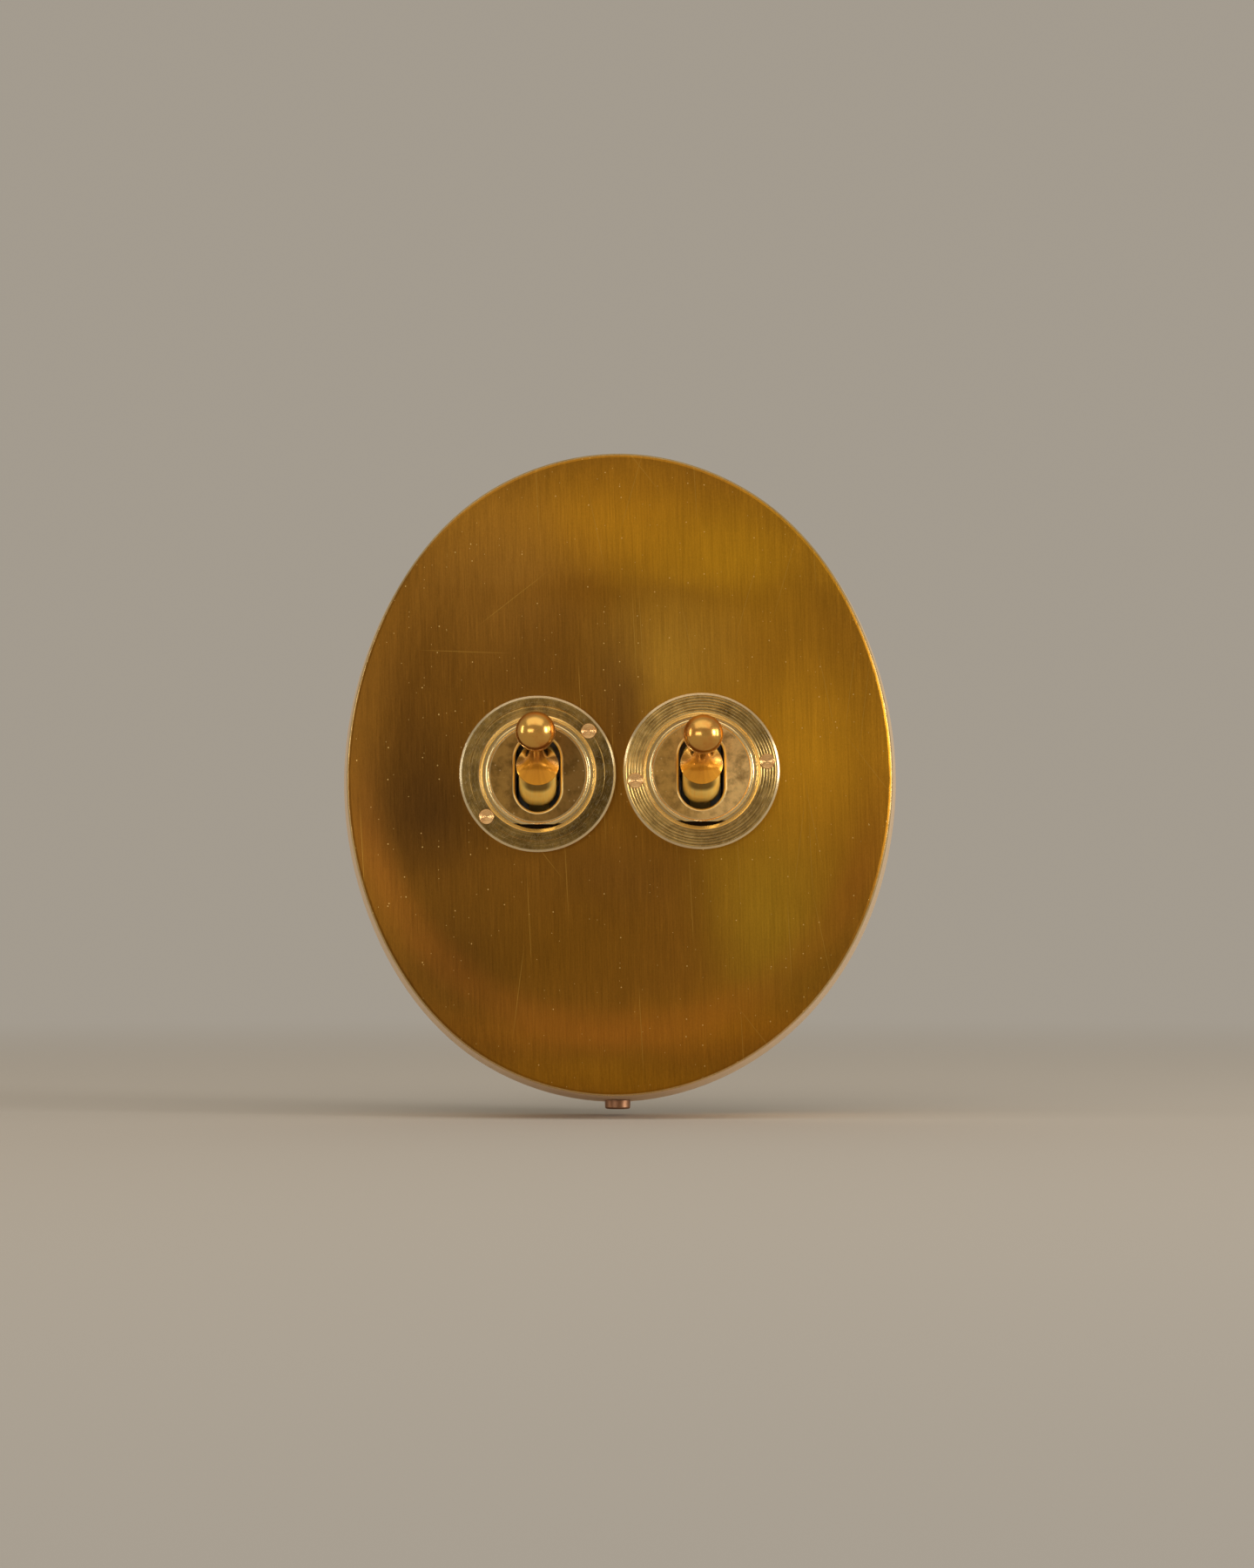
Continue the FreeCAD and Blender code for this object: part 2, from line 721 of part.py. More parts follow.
def terminal_hole():
    """The wire hole through a terminal, from the back."""
    return cylinder(wire_hole_radius, body_end, V(0, -body_end - overrun, wire_hole_place), V(0, 1, 0))


def terminal_body(front_y):
    """A terminal block that points up, with its wire hole and screw hole."""
    half = terminal_width / 2
    body = block(-half, half, front_y, -base_back - base_floor, terminal_inner, terminal_outer)
    middle_y = -(body_end + base_back + base_floor) / 2
    screw = cylinder(terminal_screw_radius, terminal_outer, V(0, middle_y, wire_hole_place), UP)
    return body.cut([terminal_hole(), screw])


def throw_terminal(tilt):
    """A fixed contact with its terminal block, for the rocker end that points up."""
    body = terminal_body(-body_end + seat_gap)
    half = finger_width / 2
    top = contact_stop(tilt)
    finger = block(-half, half, top, -body_end + seat_gap, terminal_inner, terminal_inner + finger_depth)
    return body.fuse(finger).removeSplitter()


def common_terminal():
    """The common terminal with the two posts that carry the rocker."""
    front_y = -body_end + seat_gap
    body = terminal_body(front_y)
    body.rotate(V(0, 0, 0), V(0, 1, 0), 90)
    outer = post_inner + post_thickness
    strip_end = terminal_inner + post_strip_root
    strip = block(-outer, strip_end, front_y, front_y + post_strip, -post_half, post_half)
    pieces = [strip]
    for sign in (-1, 1):
        x0, x1 = sorted((sign * post_inner, sign * outer))
        pieces.append(block(x0, x1, rocker_y - post_above_trunnion, front_y, -post_half, post_half))
    bracket = body.fuse(pieces).removeSplitter()
    bearing = trunnion_radius + running_clearance
    reach = outer + overrun
    return bracket.cut(cylinder(bearing, 2 * reach, V(-reach, rocker_y, 0), ACROSS))


def terminal_screws():
    """The three terminal screws of a switch."""
    middle_y = -(body_end + base_back + base_floor) / 2
    start = wire_hole_place + wire_hole_radius - terminal_screw_bite
    top = terminal_outer + terminal_screw_proud
    floor = top - terminal_screw_slot_depth
    half = terminal_screw_slot / 2
    reach = terminal_screw_radius + overrun
    screws = []
    for angle in terminal_angles:
        screw = cylinder(terminal_screw_radius, top - start, V(0, middle_y, start), UP)
        slot = block(-reach, reach, middle_y - half, middle_y + half, floor, top + overrun)
        screw = screw.cut(slot)
        screw.rotate(V(0, 0, 0), V(0, 1, 0), angle)
        screws.append(screw)
    return Part.makeCompound(screws)


def base_screw_places():
    """The two places of the screws that hold the contact base."""
    angle = math.radians(base_screw_angle)
    x = base_screw_circle * math.cos(angle)
    z = base_screw_circle * math.sin(angle)
    return [V(x, 0, z), V(-x, 0, -z)]


def switch_body(side):
    """The moulded body: flange behind the cover, barrel through it, and the lever's chamber."""
    flange_end = cover_back_y + body_flange_thickness
    nose_y = cap_face_y + cap_plate + seat_gap
    points = [(0, nose_y), (body_nose_radius, nose_y), (body_nose_radius, face_y), (body_radius, face_y)]
    points += [(body_radius, cover_back_y), (body_flange_radius, cover_back_y)]
    points += [(body_flange_radius, flange_end), (body_radius, flange_end), (body_radius, -body_end)]
    points.append((0, -body_end))
    body = turned(points)
    half_x = cavity_width / 2
    half_z = cavity_length / 2
    back = overrun - body_end
    chamber = block(-half_x, half_x, face_y, back, -half_z, half_z)
    mouth = block(-half_x, half_x, nose_y - overrun, face_y, -body_radius, body_radius)
    reach = body_radius + overrun
    tools = [chamber, mouth, cylinder(pin_radius, 2 * reach, V(-reach, pivot_y, 0), ACROSS)]
    for place in rivet_places(side):
        start = place + V(0, cover_back_y - overrun, 0)
        tools.append(cylinder(rivet_radius, body_flange_thickness + 2 * overrun, start, V(0, 1, 0)))
    for place in base_screw_places():
        tools.append(cylinder(base_screw_radius, base_screw_length, place + V(0, back, 0), FRONT))
    return body.cut(tools)


def contact_base():
    """The moulded base that closes the body and holds the terminals."""
    base = cylinder(body_radius, body_end - base_back, V(0, -base_back, 0), FRONT)
    half = terminal_width / 2 + pocket_clearance
    floor_y = -base_back - base_floor
    front = -body_end - overrun
    inner = terminal_inner - pocket_clearance
    tools = []
    for angle in terminal_angles:
        pocket = block(-half, half, front, floor_y, inner, body_radius + overrun)
        pocket = pocket.fuse(terminal_hole())
        pocket.rotate(V(0, 0, 0), V(0, 1, 0), angle)
        tools.append(pocket)
    outer = post_inner + post_thickness + pocket_clearance
    side_gap = post_half + pocket_clearance
    strip_y = -body_end + seat_gap + post_strip
    tools.append(block(-outer, terminal_inner + post_strip_root, front, strip_y, -side_gap, side_gap))
    sink = base_screw_head_radius - base_screw_radius
    for place in base_screw_places():
        back = place + V(0, -base_back, 0)
        tools.append(cylinder(base_screw_radius + seat_gap, body_end, back, FRONT))
        tools.append(Part.makeCone(base_screw_head_radius, base_screw_radius, sink, back, FRONT))
    return base.cut(tools)


def base_screws():
    """The two screws that hold the contact base to the body."""
    sink = base_screw_head_radius - base_screw_radius
    reach = base_screw_head_radius + overrun
    half = base_screw_slot / 2
    floor = -base_back - base_screw_slot_depth
    screws = []
    for place in base_screw_places():
        back = place + V(0, -base_back, 0)
        head = Part.makeCone(base_screw_head_radius, base_screw_radius, sink, back, FRONT)
        shank = cylinder(base_screw_radius, base_screw_length + base_back, back, FRONT)
        x, z = place.x, place.z
        slot = block(x - reach, x + reach, floor, overrun - base_back, z - half, z + half)
        screws.append(head.fuse(shank).cut(slot))
    return Part.makeCompound(screws)


def write(name, shape):
    """Writes one node's solids."""
    shape.exportStep("parts/" + name + ".step")
    volumes = ", ".join("%.1f" % solid.Volume for solid in shape.Solids)
    print(name, "valid" if shape.isValid() else "NOT VALID", volumes)


def write_switch(side):
    """Builds the pieces of one switch and writes them at their place."""
    upper = throw_terminal(lever_down_tilt)
    lower = throw_terminal(lever_up_tilt[side])
    lower.rotate(V(0, 0, 0), V(0, 1, 0), 180)
    pieces = {
        "bezel_ring": bezel_ring(side),
        "bezel_rivets": bezel_rivets(side),
        "dial_cap": dial_cap(),
        "lever": lever(side),
        "pivot_pin": pivot_pin(),
        "plunger": plunger(side),
        "plunger_spring": plunger_spring(side),
        "rocker": rocker(side),
        "switch_body": switch_body(side),
        "contact_base": contact_base(),
        "base_screws": base_screws(),
        "upper_terminal": upper,
        "lower_terminal": lower,
        "common_terminal": common_terminal(),
        "terminal_screws": terminal_screws(),
    }
    for name, shape in pieces.items():
        shape.translate(switch_centre(side))
        write(side + "_" + name, shape)


write("cover", cover())
write("back_plate", back_plate())
write("cover_screw", cover_screw())
write("earth_pillar", earth_pillar())
write("earth_screw", earth_screw())
for switch_side in ("left", "right"):
    write_switch(switch_side)
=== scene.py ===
"""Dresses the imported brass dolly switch: finishes, studio and camera.

Sizes of the switch are in millimetres, angles in degrees, and the studio is in metres. A Span holds two
readings of one number: where something isn't there yet, and where it is fully there.
"""

import logging
import math
from collections.abc import Iterable
from dataclasses import dataclass
from enum import Enum
from functools import reduce

import bmesh
import bpy
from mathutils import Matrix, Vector


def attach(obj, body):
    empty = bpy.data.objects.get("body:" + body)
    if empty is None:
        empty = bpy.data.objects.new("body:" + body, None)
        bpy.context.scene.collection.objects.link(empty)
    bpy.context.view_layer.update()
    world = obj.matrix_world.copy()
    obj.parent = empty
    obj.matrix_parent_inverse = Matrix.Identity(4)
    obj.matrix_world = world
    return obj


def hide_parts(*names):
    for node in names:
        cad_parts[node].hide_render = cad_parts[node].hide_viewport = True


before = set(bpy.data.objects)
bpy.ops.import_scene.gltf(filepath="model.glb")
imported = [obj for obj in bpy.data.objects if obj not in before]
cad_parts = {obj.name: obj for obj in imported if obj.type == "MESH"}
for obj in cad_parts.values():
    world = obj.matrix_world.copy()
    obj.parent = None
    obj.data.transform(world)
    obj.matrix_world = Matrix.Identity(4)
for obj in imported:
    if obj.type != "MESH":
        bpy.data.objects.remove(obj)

LOG = logging.getLogger("dolly_switch")
MM = 0.001
MM_IN_METRE = 1000
TINY = 0.01
SHARP_ANGLE = 28

Number = float | int
Colour = tuple[float, float, float]
Place = tuple[float, float, float]
Spot = tuple[float, float]
Span = tuple[float, float]


class Side(Enum):
    """The two switches, seen from the room."""

    LEFT = "left"
    RIGHT = "right"


def linear(red: Number, green: Number, blue: Number) -> Colour:
    """The linear colour that shaders use, for a colour as a screen shows it, from 0 to 255."""
    shares = [part / 255 for part in (red, green, blue)]
    return tuple(share / 12.92 if share <= 0.04045 else ((share + 0.055) / 1.055) ** 2.4 for share in shares)


class Value:
    """A number in a shader, with sums and products written as Python expressions."""

    def __init__(self, painter: "Painter", socket: bpy.types.NodeSocket) -> None:
        """Wraps a socket of a painter's material."""
        self.painter = painter
        self.socket = socket

    def _join(self, operation: str, first: object, second: object) -> "Value":
        """Adds a Math node on two operands."""
        node = self.painter.node("ShaderNodeMath", {"operation": operation}, {0: first, 1: second})
        return Value(self.painter, node.outputs[0])

    def __add__(self, other: "Value | Number") -> "Value":
        """Sum."""
        return self._join("ADD", self, other)

    def __radd__(self, other: Number) -> "Value":
        """Sum with a plain number on the left."""
        return self._join("ADD", other, self)

    def __sub__(self, other: "Value | Number") -> "Value":
        """Difference."""
        return self._join("SUBTRACT", self, other)

    def __rsub__(self, other: Number) -> "Value":
        """Difference from a plain number."""
        return self._join("SUBTRACT", other, self)

    def __mul__(self, other: "Value | Number") -> "Value":
        """Product."""
        return self._join("MULTIPLY", self, other)

    def __rmul__(self, other: Number) -> "Value":
        """Product with a plain number on the left."""
        return self._join("MULTIPLY", other, self)

    def __truediv__(self, other: "Value | Number") -> "Value":
        """Quotient."""
        return self._join("DIVIDE", self, other)

    def larger(self, other: "Value | Number") -> "Value":
        """The larger of two numbers."""
        return self._join("MAXIMUM", self, other)

    def smaller(self, other: "Value | Number") -> "Value":
        """The smaller of two numbers."""
        return self._join("MINIMUM", self, other)

    def root(self) -> "Value":
        """Square root."""
        return self._join("POWER", self, 0.5)

    def fade(self, start: Number, end: Number) -> "Value":
        """Goes smoothly from 0 at start to 1 at end, and start may be the larger.

        Args:
            start: Where the result is 0.
            end: Where the result is 1.

        Returns:
            The faded number, from 0 to 1.
        """
        low, high = (start, end) if start < end else (end, start)
        settings = {"interpolation_type": "SMOOTHSTEP", "clamp": True}
        node = self.painter.node("ShaderNodeMapRange", settings, {0: self, 1: low, 2: high})
        risen = Value(self.painter, node.outputs[0])
        return risen if start < end else 1 - risen


Point = tuple[Value, Value, Value]


@dataclass(frozen=True)
class Grain:
    """A cloudy noise: its clouds to a unit, its octaves and the weight of the finer ones."""

    scale: Number
    detail: Number = 3
    roughness: Number = 0.6


@dataclass(frozen=True)
class Strokes:
    """Noise drawn out upright: how fine it is across and along, and how far it slants."""

    across: Number
    along: Number
    slant: Number = 0
    detail: Number = 3
    roughness: Number = 0.6


@dataclass(frozen=True)
class Dots:
    """Small round specks: cells to a unit, a speck's radius in its cell, and the share that hold one."""

    scale: Number
    radius: Number
    share: Number
    flat: bool = False


class Painter:
    """Builds the nodes of one material or world."""

    def __init__(self, owner: bpy.types.Material | bpy.types.World) -> None:
        """Clears the owner's nodes and keeps its tree.

        Args:
            owner: The material or world to paint.
        """
        owner.use_nodes = True
        self.owner = owner
        self.tree = owner.node_tree
        self.tree.nodes.clear()

    def node(self, kind: str, settings: dict | None = None, sockets: dict | None = None) -> bpy.types.Node:
        """Adds one node, sets it up and feeds its sockets.

        Args:
            kind: The node's type.
            settings: Its properties, set first.
            sockets: Values, links or Value objects by socket name or number.

        Returns:
            The new node.
        """
        made = self.tree.nodes.new(kind)
        for key, value in (settings or {}).items():
            setattr(made, key, value)
        for key, value in (sockets or {}).items():
            socket = made.inputs[key]
            source = value.socket if isinstance(value, Value) else value
            if isinstance(source, bpy.types.NodeSocket):
                self.tree.links.new(source, socket)
            elif isinstance(source, tuple) and socket.type == "RGBA":
                socket.default_value = (*source, 1.0)
            else:
                socket.default_value = source
        return made

    def place(self) -> bpy.types.NodeSocket:
        """The point on the surface in the object's own frame, in metres."""
        return self.node("ShaderNodeTexCoord").outputs["Object"]

    def axes(self) -> Point:
        """The point on the surface in the object's own frame, as three numbers in millimetres."""
        split = self.node("ShaderNodeSeparateXYZ", None, {0: self.place()})
        return tuple(Value(self, output) * MM_IN_METRE for output in split.outputs)

    def vector(self, x: Value | Number, y: Value | Number, z: Value | Number) -> bpy.types.NodeSocket:
        """Joins three numbers into a vector."""
        return self.node("ShaderNodeCombineXYZ", None, {0: x, 1: y, 2: z}).outputs[0]

    def noise(self, where: bpy.types.NodeSocket | Value, grain: Grain) -> Value:
        """Cloudy noise from 0 to 1, in space or along one number.

        Args:
            where: The place to read it at, or the number that it follows.
            grain: How fine and how rough it is.

        Returns:
            The noise.
        """
        on_line = isinstance(where, Value)
        settings = {"noise_dimensions": "1D" if on_line else "3D"}
        looks = {"Scale": grain.scale, "Detail": grain.detail, "Roughness": grain.roughness}
        sockets = {"W" if on_line else "Vector": where, **looks}
        return Value(self, self.node("ShaderNodeTexNoise", settings, sockets).outputs[0])

    def stretched(self, point: Point, scales: Place, grain: Grain) -> Value:
        """Cloudy noise from 0 to 1 that is finer along each axis by that axis's scale."""
        where = self.vector(*(part * scale for part, scale in zip(point, scales)))
        return self.noise(where, grain)

    def strokes(self, point: Point, look: Strokes) -> Value:
        """Noise from 0 to 1 drawn out into upright strokes.

        Args:
            point: The place to read it at.
            look: How fine the strokes are and how they slant.

        Returns:
            The noise.
        """
        x, y, z = point
        where = self.vector(x * look.across + z * look.slant, y, z * look.along)
        return self.noise(where, Grain(1, look.detail, look.roughness))

    def specks(self, where: bpy.types.NodeSocket, dots: Dots) -> Value:
        """Small round specks in some of the cells of a grid that has no order.

        Args:
            where: The place to read it at.
            dots: The specks' cells, size and number.

        Returns:
            1 on a speck and 0 off it.
        """
        settings = {"voronoi_dimensions": "2D" if dots.flat else "3D"}
        cells = self.node("ShaderNodeTexVoronoi", settings, {"Vector": where, "Scale": dots.scale})
        chosen = self.node("ShaderNodeSeparateColor", None, {0: cells.outputs["Color"]})
        held = Value(self, chosen.outputs[0]).fade(dots.share + TINY, dots.share)
        return held * Value(self, cells.outputs["Distance"]).fade(dots.radius, 0.5 * dots.radius)

    def mix(self, factor: Value | Number, first: object, second: object) -> bpy.types.NodeSocket:
        """Blends two colours, all of the first at a factor of 0 and all of the second at 1."""
        sockets = {0: factor, 6: first, 7: second}
        return self.node("ShaderNodeMix", {"data_type": "RGBA"}, sockets).outputs[2]

    def tint(self, colour: object, strength: Value | Number) -> bpy.types.NodeSocket:
        """Makes a colour darker or lighter by a number."""
        sockets = {0: colour, "Scale": strength}
        return self.node("ShaderNodeVectorMath", {"operation": "SCALE"}, sockets).outputs[0]

    def bump(self, height: Value, depth: Number) -> bpy.types.NodeSocket:
        """The normal of a surface that a height from 0 to 1 raises by up to a depth."""
        return self.node("ShaderNodeBump", None, {"Height": height, "Distance": depth * MM}).outputs[0]

    def lean(self, across: object, amount: Value) -> bpy.types.NodeSocket:
        """Leans the normal to one side, as fine scores do that are too small to model.

        Args:
            across: The direction across the scores.
            amount: How far it leans, with its sign.

        Returns:
            The new normal.
        """
        normal = self.node("ShaderNodeNewGeometry").outputs["Normal"]
        push = self.node("ShaderNodeVectorMath", {"operation": "SCALE"}, {0: across, "Scale": amount})
        joined = self.node("ShaderNodeVectorMath", {"operation": "ADD"}, {0: normal, 1: push.outputs[0]})
        unit = self.node("ShaderNodeVectorMath", {"operation": "NORMALIZE"}, {0: joined.outputs[0]})
        return unit.outputs[0]

    def finish(self, **sockets: object) -> bpy.types.Material:
        """Ends a material in one Principled shader.

        Args:
            **sockets: The shader's sockets, with _ for a space.

        Returns:
            The material.
        """
        named = {key.replace("_", " "): value for key, value in sockets.items()}
        shader = self.node("ShaderNodeBsdfPrincipled", None, named)
        self.node("ShaderNodeOutputMaterial", None, {0: shader.outputs[0]})
        return self.owner


def painter_for(name: str) -> Painter:
    """Makes an empty material and its painter."""
    return Painter(bpy.data.materials.new(name))


def distance(across: Value, upward: Value) -> Value:
    """The distance from a centre, given the offsets in two directions."""
    return (across * across + upward * upward).root()


def turned_axes(first: Value, second: Value, degrees: Number) -> tuple[Value, Value]:
    """Turns two directions by an angle.

    Args:
        first: The offset in the first direction.
        second: The offset in the second direction.
        degrees: The angle, from the first to the second.

    Returns:
        The offsets in the turned directions.
    """
    angle = math.radians(degrees)
    along = first * math.cos(angle) + second * math.sin(angle)
    beside = second * math.cos(angle) - first * math.sin(angle)
    return along, beside


def strongest(marks: Iterable[Value]) -> Value:
    """The largest of several numbers."""
    return reduce(Value.larger, marks)


@dataclass(frozen=True)
class Patch:
    """A soft cloud of colour on the cover, partly patina and partly painted reflection, in millimetres from
    the origin.
    """

    x: float
    z: float
    wide: float
    tall: float
    colour: Colour
    strength: float


@dataclass(frozen=True)
class CoverBrass:
    """Aged brass, brushed upright, with a brown patina that clears to olive gold in places.

    Some of the soft patches are painted reflections, the pale side wall is a painted highlight, and the
    bright front edge is partly polished wear and partly a painted highlight.
    """

    ground: Colour = linear(144, 96, 29)
    hairline: Colour = linear(196, 150, 62)
    # The pale side colour is a painted highlight; the colour after it, for the front edge, is partly
    # polished wear and partly a painted highlight.
    side: Colour = linear(255, 228, 192)
    edge: Colour = linear(255, 226, 160)
    red_arc: Colour = linear(184, 110, 40)
    dust: Colour = linear(255, 216, 130)
    # The soft patches below are partly patina and partly painted reflections of the room.
    patches: tuple[Patch, ...] = (
        Patch(-2, 60, 34, 14, linear(205, 143, 34), 0.9),
        Patch(28, 50, 24, 13, linear(205, 149, 32), 0.8),
        Patch(-28, 50, 18, 22, linear(165, 115, 46), 0.6),
        Patch(2, 42, 34, 3.6, linear(138, 90, 23), 0.5),
        Patch(12, 27, 16, 14, linear(203, 151, 51), 0.8),
        Patch(46, 6, 22, 30, linear(210, 150, 36), 0.95),
        Patch(-52, 12, 16, 32, linear(101, 66, 24), 0.7),
        Patch(-46, -10, 18, 16, linear(84, 55, 23), 0.85),
        Patch(-22, 24, 18, 12, linear(119, 79, 28), 0.7),
        Patch(0, 18, 7, 16, linear(116, 77, 33), 0.7),
        Patch(-5, -26, 22, 10, linear(127, 84, 30), 0.7),
        Patch(-18, -42, 20, 14, linear(123, 82, 20), 0.6),
        Patch(-40, -44, 16, 16, linear(97, 65, 23), 0.7),
        Patch(36, -34, 14, 20, linear(184, 141, 36), 0.75),
        Patch(-2, -62, 34, 5, linear(175, 111, 32), 0.6),
        Patch(28, -60, 18, 7, linear(184, 122, 30), 0.7),
        Patch(0, -74, 34, 6, linear(179, 124, 27), 0.6),
    )
    patch_fade: Span = (1.75, -0.1)
    wobble: Grain = Grain(26, 4, 0.55)
    wobble_reach: float = 18.0
    drift: Grain = Grain(1, 3, 0.5)
    drift_scales: Place = (0.03, 0.05, 1.0)
    drift_reach: float = 13.0
    cloud: Grain = Grain(60, 5, 0.6)
    brushing: Strokes = Strokes(2.2, 0.045, 0.06, 5, 0.75)
    broad_brushing: Strokes = Strokes(0.45, 0.016, 0.012, 3, 0.6)
    tarnish: Strokes = Strokes(2.6, 1.7, 0, 3, 0.7)
    scores: Strokes = Strokes(9, 0.1, 0.2, 4, 0.8)
    score_lean: float = 0.65
    arc_inner: Span = (55, 62)
    arc_outer: Span = (69, 63)
    arc_below: Span = (12, -26)
    coarse_dust: Dots = Dots(0.25, 0.045, 0.14, True)
    fine_dust: Dots = Dots(0.55, 0.06, 0.07, True)
    scratch_runs: tuple[Spot, ...] = ((3, 3), (-7, 4), (12, 5), (-16, 7), (38, 7), (-52, 8), (88, 9))
    scratch_width: float = 0.10
    scratch_length: float = 130.0
    scratch_shift: float = 0.37
    stain: Grain = Grain(1, 4, 0.6)
    stain_scales: Place = (0.2, 0.9, 0.2)
    side_from: Span = (-26.6, -25.6)
    edge_start: Span = (-27.0, -26.75)
    edge_end: Span = (-25.9, -26.4)

    def material(self) -> bpy.types.Material:
        """Paints the finish.

        Returns:
            The material.
        """
        painter = painter_for("cover_brass")
        point = painter.axes()
        x, y, z = point
        cloud = painter.noise(painter.place(), self.cloud)
        brushed = painter.strokes(point, self.brushing)
        broad = painter.strokes(point, self.broad_brushing)
        tarnish = painter.strokes(point, self.tarnish)
        colour = self._patched(painter, point)
        colour = painter.tint(colour, 0.48 + cloud * 0.18 + brushed * 0.66 + broad * 0.22)
        colour = painter.tint(colour, 0.80 + tarnish * 0.40)
        reach = distance(x, z)
        arc = reach.fade(*self.arc_inner) * reach.fade(*self.arc_outer) * z.fade(*self.arc_below)
        colour = painter.mix(arc * (0.06 + 0.30 * cloud), colour, self.red_arc)
        colour = painter.mix(self._scratches(painter, x, z) * 0.5, colour, self.hairline)
        flat = painter.vector(x, z, 0.0)
        dust = painter.specks(flat, self.coarse_dust).larger(painter.specks(flat, self.fine_dust))
        colour = painter.mix(dust * 0.75, colour, self.dust)
        # The side wall is painted pale as a highlight, with some darker stains.
        on_side = y.fade(*self.side_from)
        stain = painter.stretched(point, self.stain_scales, self.stain)
        side = painter.mix(stain * 0.35, self.side, self.ground)
        colour = painter.mix(on_side, colour, side)
        # The band along the rounded front edge is painted bright: partly polished wear, partly a painted
        # highlight.
        at_edge = y.fade(*self.edge_start) * y.fade(*self.edge_end)
        colour = painter.mix(at_edge * (0.35 + 0.6 * cloud), colour, self.edge)
        roughness = 0.30 + brushed * 0.12 + cloud * 0.08 + on_side * 0.20 - at_edge * 0.12
        lean = (painter.strokes(point, self.scores) - 0.5) * self.score_lean
        normal = painter.lean((1.0, 0.0, 0.0), lean)
        return painter.finish(Base_Color=colour, Metallic=1.0, Roughness=roughness, Normal=normal)

    def _patched(self, painter: Painter, point: Point) -> object:
        """Lays the soft patches of patina and painted reflection over the ground, with edges that wander.

        Args:
            painter: The material's painter.
            point: The place on the surface.

        Returns:
            The colour.
        """
        x, y, z = point
        wobble = (painter.noise(painter.place(), self.wobble) - 0.5) * self.wobble_reach
        drift = (painter.stretched((z, x, y), self.drift_scales, self.drift) - 0.5) * self.drift_reach
        colour: object = self.ground
        for patch in self.patches:
            across = (x + drift - patch.x) / patch.wide
            upward = (z + wobble - patch.z) / patch.tall
            cover = distance(across, upward).fade(*self.patch_fade) * patch.strength
            colour = painter.mix(cover, colour, patch.colour)
        return colour

    def _scratches(self, painter: Painter, x: Value, z: Value) -> Value:
        """Sparse long scratches, as thin as a hair, in each of the runs' directions.

        Args:
            painter: The material's painter.
            x: The place across.
            z: The place upwards.

        Returns:
            1 on a scratch and 0 off it.
        """
        marks = []
        for degrees, gap in self.scratch_runs:
            across, along = turned_axes(x, z, degrees)
            crosswise = across / gap + degrees
            lengthwise = along / (self.scratch_length * gap) + degrees * self.scratch_shift
            where = painter.vector(crosswise, lengthwise, 0.0)
            marks.append(painter.specks(where, Dots(1, self.scratch_width / gap, 1.0, True)))
        return strongest(marks)


